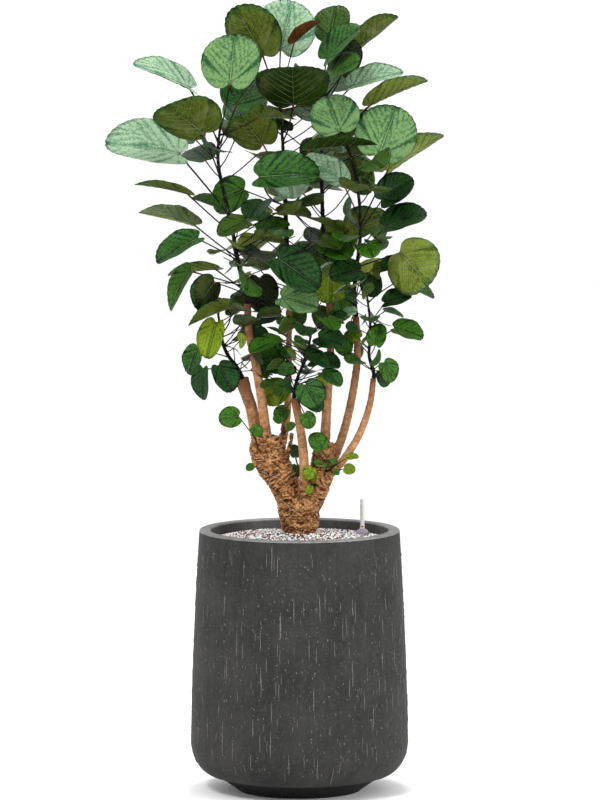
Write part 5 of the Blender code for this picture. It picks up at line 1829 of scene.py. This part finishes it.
@dataclass
class Planter:
    """Tall tapered planter with a cast relief of dots and drips."""

    height: float = 0.56
    foot_radius: float = 0.135
    foot_top_radius: float = 0.172
    foot_height: float = 0.030
    skirt_radius: float = 0.178
    belly_radius: float = 0.2325
    belly_height: float = 0.105
    rim_radius: float = 0.214
    rim_inner_radius: float = 0.190
    lip_round: float = 0.003
    floor_thickness: float = 0.045
    crease: float = 0.002
    foot_edge: float = 0.003
    foot_top_edge: float = 0.004
    inner_heights: tuple[float, ...] = (0.545, 0.53, 0.50, 0.40, 0.2)
    belly_steps: int = 16
    side_steps: int = 24
    lip_steps: int = 4
    segments: int = 240

    def side_radius(self, height: float) -> float:
        """Outer radius at a height above the belly: a slightly bowed taper up to the rim."""
        share = (height - self.belly_height) / (self.height - self.belly_height)
        return self.belly_radius + (self.rim_radius - self.belly_radius) * share ** 1.5

    def profile(self) -> list[tuple[float, float]]:
        """Half section of the planter, from the axis under the foot to the axis on its inner floor.

        Returns:
            (radius, height) pairs.
        """
        edge, top_edge, lip = self.foot_edge, self.foot_top_edge, self.lip_round
        outline = [(0.0, 0.0), (self.foot_radius - edge, 0.0), (self.foot_radius, edge),
                   (self.foot_top_radius - top_edge, self.foot_height - top_edge),
                   (self.foot_top_radius, self.foot_height)]
        wide = self.belly_radius - self.skirt_radius
        deep = self.belly_height - self.foot_height - self.crease
        for step in range(self.belly_steps + 1):
            angle = math.radians(-90 + 90 * step / self.belly_steps)
            outline.append((self.skirt_radius + wide * math.cos(angle),
                            self.belly_height + deep * math.sin(angle)))
        top = self.height - lip
        for step in range(1, self.side_steps):
            height = self.belly_height + (top - self.belly_height) * step / self.side_steps
            outline.append((self.side_radius(height), height))
        for centre, start in ((self.rim_radius - lip, 0), (self.rim_inner_radius + lip, 90)):
            for step in range(self.lip_steps + 1):
                angle = math.radians(start + 90 * step / self.lip_steps)
                outline.append((centre + lip * math.cos(angle), top + lip * math.sin(angle)))
        outline += [(self.rim_inner_radius, height) for height in self.inner_heights]
        return outline + [(self.rim_inner_radius - 0.01, self.floor_thickness), (0.0, self.floor_thickness)]

    def relief_tree(self) -> bpy.types.NodeTree:
        """Node tree that sows dots and vertical drips on the outer side.

        Returns:
            The tree.
        """
        sheet, given, result = node_tree("relief", {
            "Dots": ("NodeSocketFloat", 2300.0), "Drips": ("NodeSocketFloat", 1150.0),
            "Specks": ("NodeSocketFloat", 6000.0),
            "Lowest": ("NodeSocketFloat", 0.06), "Highest": ("NodeSocketFloat", 0.53),
            "Seed": ("NodeSocketInt", SEED), "Finish": ("NodeSocketMaterial", None)})
        place = sheet.add("GeometryNodeInputPosition").outputs["Position"]
        height = sheet.add("ShaderNodeSeparateXYZ", {"Vector": place}).outputs["Z"]
        normal = sheet.add("GeometryNodeInputNormal").outputs["Normal"]
        outward = sheet.add("ShaderNodeVectorMath", {0: normal, 1: place}, operation="DOT_PRODUCT")
        chosen = sheet.compare("GREATER_THAN", outward.outputs["Value"], 0.05)
        for operation, limit in (("GREATER_THAN", "Lowest"), ("LESS_THAN", "Highest")):
            within = sheet.compare(operation, height, given.outputs[limit])
            both = sheet.add("FunctionNodeBooleanMath", {0: chosen, 1: within}, operation="AND")
            chosen = both.outputs["Boolean"]
        whole = sheet.add("GeometryNodeJoinGeometry")
        kinds = (("Dots", 0, (5, 4), (0.0005, 0.0007, 0.0008), (0.0009, 0.0015, 0.0026)),
                 ("Drips", 7, (6, 8), (0.0005, 0.0005, 0.004), (0.0008, 0.0011, 0.030)),
                 ("Specks", 14, (4, 3), (0.0003, 0.0004, 0.0004), (0.0005, 0.0008, 0.0012)))
        for title, offset, cuts, least, most in kinds:
            seed = sheet.maths("ADD", given.outputs["Seed"], float(offset))
            sown = sheet.add("GeometryNodeDistributePointsOnFaces",
                             {"Mesh": given.outputs["Geometry"], "Selection": chosen,
                              "Density": given.outputs[title], "Seed": seed})
            upright = sheet.add("FunctionNodeAlignRotationToVector", {"Vector": sown.outputs["Normal"]},
                                axis="X", pivot_axis="Z")
            leaning = sheet.add("FunctionNodeAlignRotationToVector",
                                {"Rotation": upright.outputs[0], "Vector": sown.outputs["Normal"]},
                                axis="X", pivot_axis="Y")
            share = sheet.add("FunctionNodeRandomValue", {"Seed": offset + 1}, data_type="FLOAT")
            skewed = sheet.maths("POWER", share.outputs[1], 3.0 if title == "Drips" else 1.5)
            size = sheet.add("ShaderNodeMix", {0: skewed, 4: least, 5: most}, data_type="VECTOR")
            bead = sheet.add("GeometryNodeMeshUVSphere",
                             {"Segments": cuts[0], "Rings": cuts[1], "Radius": 1.0})
            laid = sheet.add("GeometryNodeInstanceOnPoints",
                             {"Points": sown.outputs["Points"], "Instance": bead.outputs["Mesh"],
                              "Rotation": leaning.outputs[0], "Scale": size.outputs[1]})
            sheet.link(laid.outputs["Instances"], whole.inputs["Geometry"])
        real = sheet.add("GeometryNodeRealizeInstances", {"Geometry": whole.outputs["Geometry"]})
        stretched = sheet.vector_maths("MULTIPLY", place, (40.0, 40.0, 90.0))
        swing = sheet.add("ShaderNodeTexNoise", {"Vector": stretched, "Scale": 1.0, "Detail": 1.0})
        centred = sheet.vector_maths("SUBTRACT", swing.outputs["Color"], (0.5, 0.5, 0.5))
        aside = sheet.vector_maths("MULTIPLY", centred, (0.004, 0.0, 0.0))
        wavy = sheet.add("GeometryNodeSetPosition", {"Geometry": real.outputs["Geometry"], "Offset": aside})
        dressed = sheet.dressed(wavy.outputs["Geometry"], given.outputs["Finish"])
        sheet.link(dressed, result.inputs["Geometry"])
        return sheet.tree

    def zone(self, spot: Vector) -> int:
        """Which finish a face wears: 0 side, 1 rim, 2 inside, 3 foot, painted near black as shade.

        Args:
            spot: the face's middle.

        Returns:
            The number of the finish.
        """
        if spot.z < self.foot_height:
            return 3
        if spot.z > self.height - self.lip_round:
            return 1
        inner = math.hypot(spot.x, spot.y) < self.rim_inner_radius + 0.002
        return 2 if inner and spot.z > self.belly_height else 0

    def build(self) -> None:
        """Turn the planter and sow its relief."""
        mesh = mesh_of(turned(self.profile(), self.segments), "planter")
        stone = StoneFinish("planter_charcoal", (0.012, 0.0125, 0.0127), (0.035, 0.0340, 0.0315)).build()
        rim = StoneFinish("planter_rim", (0.115, 0.116, 0.114), (0.24, 0.24, 0.235)).build()
        inner = StoneFinish("planter_inside", (0.045, 0.045, 0.045), (0.088, 0.086, 0.083)).build()
        # The recessed foot is painted near black as shade.
        foot = StoneFinish("planter_foot", (0.003, 0.003, 0.003), (0.010, 0.0095, 0.009)).build()
        drips = PlainFinish("planter_drips", (0.105, 0.100, 0.090), 0.8, 0.45).build()
        sown = grown_by_nodes(mesh.copy(), self.relief_tree(), {"Finish": drips})
        mesh.polygons.foreach_set("material_index", [self.zone(face.center) for face in mesh.polygons])
        piece("planter", mesh, [stone, rim, inner, foot], ("pot",), 50.0)
        piece("planter_relief", sown, [])


@dataclass
class Medium:
    """Mineral granules round the foot of the trunk."""

    level: float = 0.537
    radius: float = 0.1893
    mound: tuple[tuple[float, float], ...] = ((0.1616, 0.542), (0.1296, 0.542), (0.048, 0.553), (0.0, 0.553))
    bed: float = 0.006
    spacing: float = 0.0036
    least: float = 0.0015
    most: float = 0.0029
    segments: int = 96
    under: float = 0.0005
    sown_share: float = 0.985
    tints: tuple[Colour, ...] = ((0.92, 0.92, 0.90), (0.66, 0.78, 0.84), (0.62, 0.42, 0.33),
                                 (0.055, 0.030, 0.040), (0.90, 0.86, 0.82), (0.16, 0.10, 0.10))

    def granule_tree(self, finishes: list[bpy.types.Material]) -> bpy.types.NodeTree:
        """Node tree that scatters granules of every tint.

        Args:
            finishes: one material a tint.

        Returns:
            The tree.
        """
        sheet, given, result = node_tree("granules", {
            "Spacing": ("NodeSocketFloat", self.spacing), "Least": ("NodeSocketFloat", self.least),
            "Most": ("NodeSocketFloat", self.most), "Seed": ("NodeSocketInt", SEED)})
        sown = sheet.add("GeometryNodeDistributePointsOnFaces",
                         {"Mesh": given.outputs["Geometry"], "Distance Min": given.outputs["Spacing"],
                          "Density Max": 90000.0, "Seed": given.outputs["Seed"]}, distribute_method="POISSON")
        tint = sheet.add("FunctionNodeRandomValue", {}, data_type="INT")
        tint.inputs[4].default_value = 0
        tint.inputs[5].default_value = len(finishes) - 1
        turn = sheet.add("FunctionNodeRandomValue", {}, data_type="FLOAT_VECTOR")
        turn.inputs[0].default_value = (0.0, 0.0, 0.0)
        turn.inputs[1].default_value = (6.28, 6.28, 6.28)
        whole = sheet.add("GeometryNodeJoinGeometry")
        for number, finish in enumerate(finishes):
            mine = sheet.add("FunctionNodeCompare", {}, data_type="INT", operation="EQUAL")
            sheet.link(tint.outputs[2], mine.inputs[2])
            mine.inputs[3].default_value = number
            size = sheet.add("FunctionNodeRandomValue", {}, data_type="FLOAT_VECTOR")
            size.inputs[0].default_value = (self.least,) * 3
            size.inputs[1].default_value = (self.most,) * 3
            size.inputs["Seed"].default_value = number
            stone = sheet.add("GeometryNodeMeshIcoSphere", {"Radius": 1.0, "Subdivisions": 1})
            laid = sheet.add("GeometryNodeInstanceOnPoints",
                             {"Points": sown.outputs["Points"], "Selection": mine.outputs["Result"],
                              "Instance": stone.outputs["Mesh"], "Rotation": turn.outputs[0],
                              "Scale": size.outputs[0]})
            sheet.link(sheet.dressed(laid.outputs["Instances"], finish), whole.inputs["Geometry"])
        sheet.link(whole.outputs["Geometry"], result.inputs["Geometry"])
        return sheet.tree

    def build(self) -> None:
        """Lay the bed and scatter the granules on it."""
        bottom = self.level - self.bed
        surface = [(self.radius, self.level), *self.mound]
        covered = [(radius, height - self.under) for radius, height in surface]
        bed = mesh_of(turned([(0.0, bottom), (self.radius, bottom), *covered], self.segments), "bed")
        top = [(radius * self.sown_share, height) for radius, height in surface]
        finishes = [PebbleFinish(f"granule_{number}", tint).build() for number, tint in enumerate(self.tints)]
        sown = grown_by_nodes(mesh_of(turned(top, self.segments), "bed_top"), self.granule_tree(finishes), {})
        piece("medium_bed", bed, [PebbleFinish("medium_dark", (0.13, 0.10, 0.09)).build()],
              ("growing_medium",), 30.0)
        piece("medium_granules", sown, [], ("growing_medium",), 20.0)


@dataclass
class WaterGauge:
    """Clear tube with two yellow marks and a red float, on a domed foot."""

    x: float = 0.1348
    y: float = 0.055
    tube_radius: float = 0.0049
    bore: float = 0.0037
    top: float = 0.6185
    foot_radius: float = 0.0141
    foot_height: float = 0.013
    floor: float = 0.5423
    marks: tuple[float, ...] = (0.6029, 0.5815)
    mark_size: tuple[float, float, float] = (0.0044, 0.0014, 0.0022)
    float_level: float = 0.5598
    float_size: tuple[float, float, float] = (0.0046, 0.0014, 0.0036)
    foot_edge: float = 0.002
    scale_radius: float = 0.0033
    scale_short: float = 0.003
    gap: float = 0.0003

    def build(self) -> None:
        """Make the foot, the tube and what is in it."""
        shoulder, rise = self.floor + self.foot_edge, self.foot_height - self.foot_edge
        angles = [math.radians(angle) for angle in range(0, 69, 6)]
        dome = [(self.foot_radius * math.cos(angle), shoulder + rise * math.sin(angle)) for angle in angles]
        foot = [(0.0, self.floor), (self.foot_radius, self.floor), *dome, (0.0, dome[-1][1])]
        lilac = StoneFinish("gauge_foot_lilac", (0.16, 0.14, 0.18), (0.30, 0.28, 0.33), 0.35, 900.0)
        self.place("gauge_foot", foot, "gauge_cap", lilac, ("water_gauge_foot",))
        low = dome[-1][1] + self.gap
        wall = [(self.bore, low), (self.tube_radius, low), (self.tube_radius, self.top - 0.001),
                (self.tube_radius - 0.0006, self.top), (self.bore, self.top), (self.bore, low)]
        self.place("gauge_tube", wall, "gauge_tube", ClearFinish("gauge_clear"), ("water_gauge_tube",))
        high = self.top - self.scale_short
        scale = [(0.0, low), (self.scale_radius, low), (self.scale_radius, high), (0.0, high)]
        self.place("gauge_scale", scale, "gauge_tube", PlainFinish("gauge_scale_white", (0.62, 0.63, 0.63)))
        yellow = PlainFinish("gauge_mark_yellow", (0.80, 0.58, 0.05)).build()
        for number, level in enumerate(self.marks):
            self.plate(f"gauge_mark_{number}", level, self.mark_size, yellow)
        red = PlainFinish("gauge_float_red", (0.50, 0.02, 0.02)).build()
        self.plate("gauge_float", self.float_level, self.float_size, red)

    def plate(self, name: str, level: float, size: Point, finish: bpy.types.Material) -> None:
        """Lay a small mark on the front of the tube.

        Args:
            name: name of the piece.
            level: height of its middle.
            size: its width, depth and height.
            finish: its material.
        """
        bm = bmesh.new()
        middle = Vector((self.x, self.y - self.tube_radius, level))
        bmesh.ops.create_cube(bm, size=1.0, matrix=Matrix.LocRotScale(middle, None, Vector(size)))
        piece(name, mesh_of(bm, name), [finish], (), 30.0)

    def place(self, name: str, profile: list[tuple[float, float]], slot: str, finish: Finish,
              replaced: tuple[str, ...] = ()) -> None:
        """Turn one piece of the gauge.

        Args:
            name: name of the piece.
            profile: its half section.
            slot: not used.
            finish: its finish.
            replaced: CAD nodes that it stands for.
        """
        bm = turned(profile, 48, (self.x, self.y))
        bmesh.ops.remove_doubles(bm, verts=bm.verts, dist=1e-6)
        bmesh.ops.recalc_face_normals(bm, faces=bm.faces)
        piece(name, mesh_of(bm, name), [finish.build()], replaced, 35.0)


@dataclass
class Studio:
    """Camera, pale floor and soft light."""

    distance: float = 12.0
    eye_height: float = 2.05
    aim_down: float = 5.77
    lens: float = 254.7
    sensor: float = 36.0
    furthest: float = 200.0
    aside: float = 0.001
    sky: float = 1.08
    floor_size: float = 60.0
    floor_level: float = -0.0005

    def build(self) -> None:
        """Set up the view."""
        camera = bpy.data.cameras.new("view")
        camera.lens = self.lens
        camera.sensor_width = self.sensor
        camera.clip_end = self.furthest
        eye = bpy.data.objects.new("view", camera)
        eye.location = (self.aside, -self.distance, self.eye_height)
        eye.rotation_euler = (math.radians(90 - self.aim_down), 0.0, 0.0)
        bpy.context.scene.collection.objects.link(eye)
        bpy.context.scene.camera = eye
        half = self.floor_size / 2
        corners = [(x * half, y * half, self.floor_level) for x, y in ((-1, -1), (1, -1), (1, 1), (-1, 1))]
        floor = bpy.data.objects.new("floor", mesh_from(corners, [(0, 1, 2, 3)]))
        floor.data.materials.append(PlainFinish("floor_pale", (0.94, 0.94, 0.94), 0.9, 0.0).build())
        bpy.context.scene.collection.objects.link(floor)
        world = bpy.data.worlds.new("studio")
        world.use_nodes = True
        sky = world.node_tree.nodes["Background"]
        sky.inputs["Color"].default_value = (1.0, 1.0, 1.0, 1.0)
        sky.inputs["Strength"].default_value = self.sky
        bpy.context.scene.world = world
        bpy.context.scene.view_settings.view_transform = "Standard"
        self.lamp("key", (-1.6, -3.0, 3.6), 100.0, 0.9)
        self.lamp("side", (3.0, -2.2, 1.5), 55.0, 1.2)
        self.lamp("above", (0.2, 0.8, 4.2), 60.0, 1.0)

    @staticmethod
    def lamp(name: str, place: Point, power: float, size: float) -> None:
        """Add one square area light aimed at the plant.

        Args:
            name: name of the light.
            place: where it stands.
            power: watts.
            size: side of the square.
        """
        light = bpy.data.lights.new(name, "AREA")
        light.energy = power
        light.size = size
        made = bpy.data.objects.new(name, light)
        made.location = place
        made.rotation_euler = (Vector((0.0, 0.0, 1.0)) - Vector(place)).to_track_quat("-Z", "Y").to_euler()
        bpy.context.scene.collection.objects.link(made)


def main() -> None:
    """Build every sub-assembly in order."""
    logging.basicConfig(level=logging.INFO, format="%(message)s")
    for part in (Studio(), Planter(), Medium(), WaterGauge(), Wood(), Crown()):
        part.build()
        log.info("%s done", type(part).__name__)


if __name__ == "__main__":
    main()
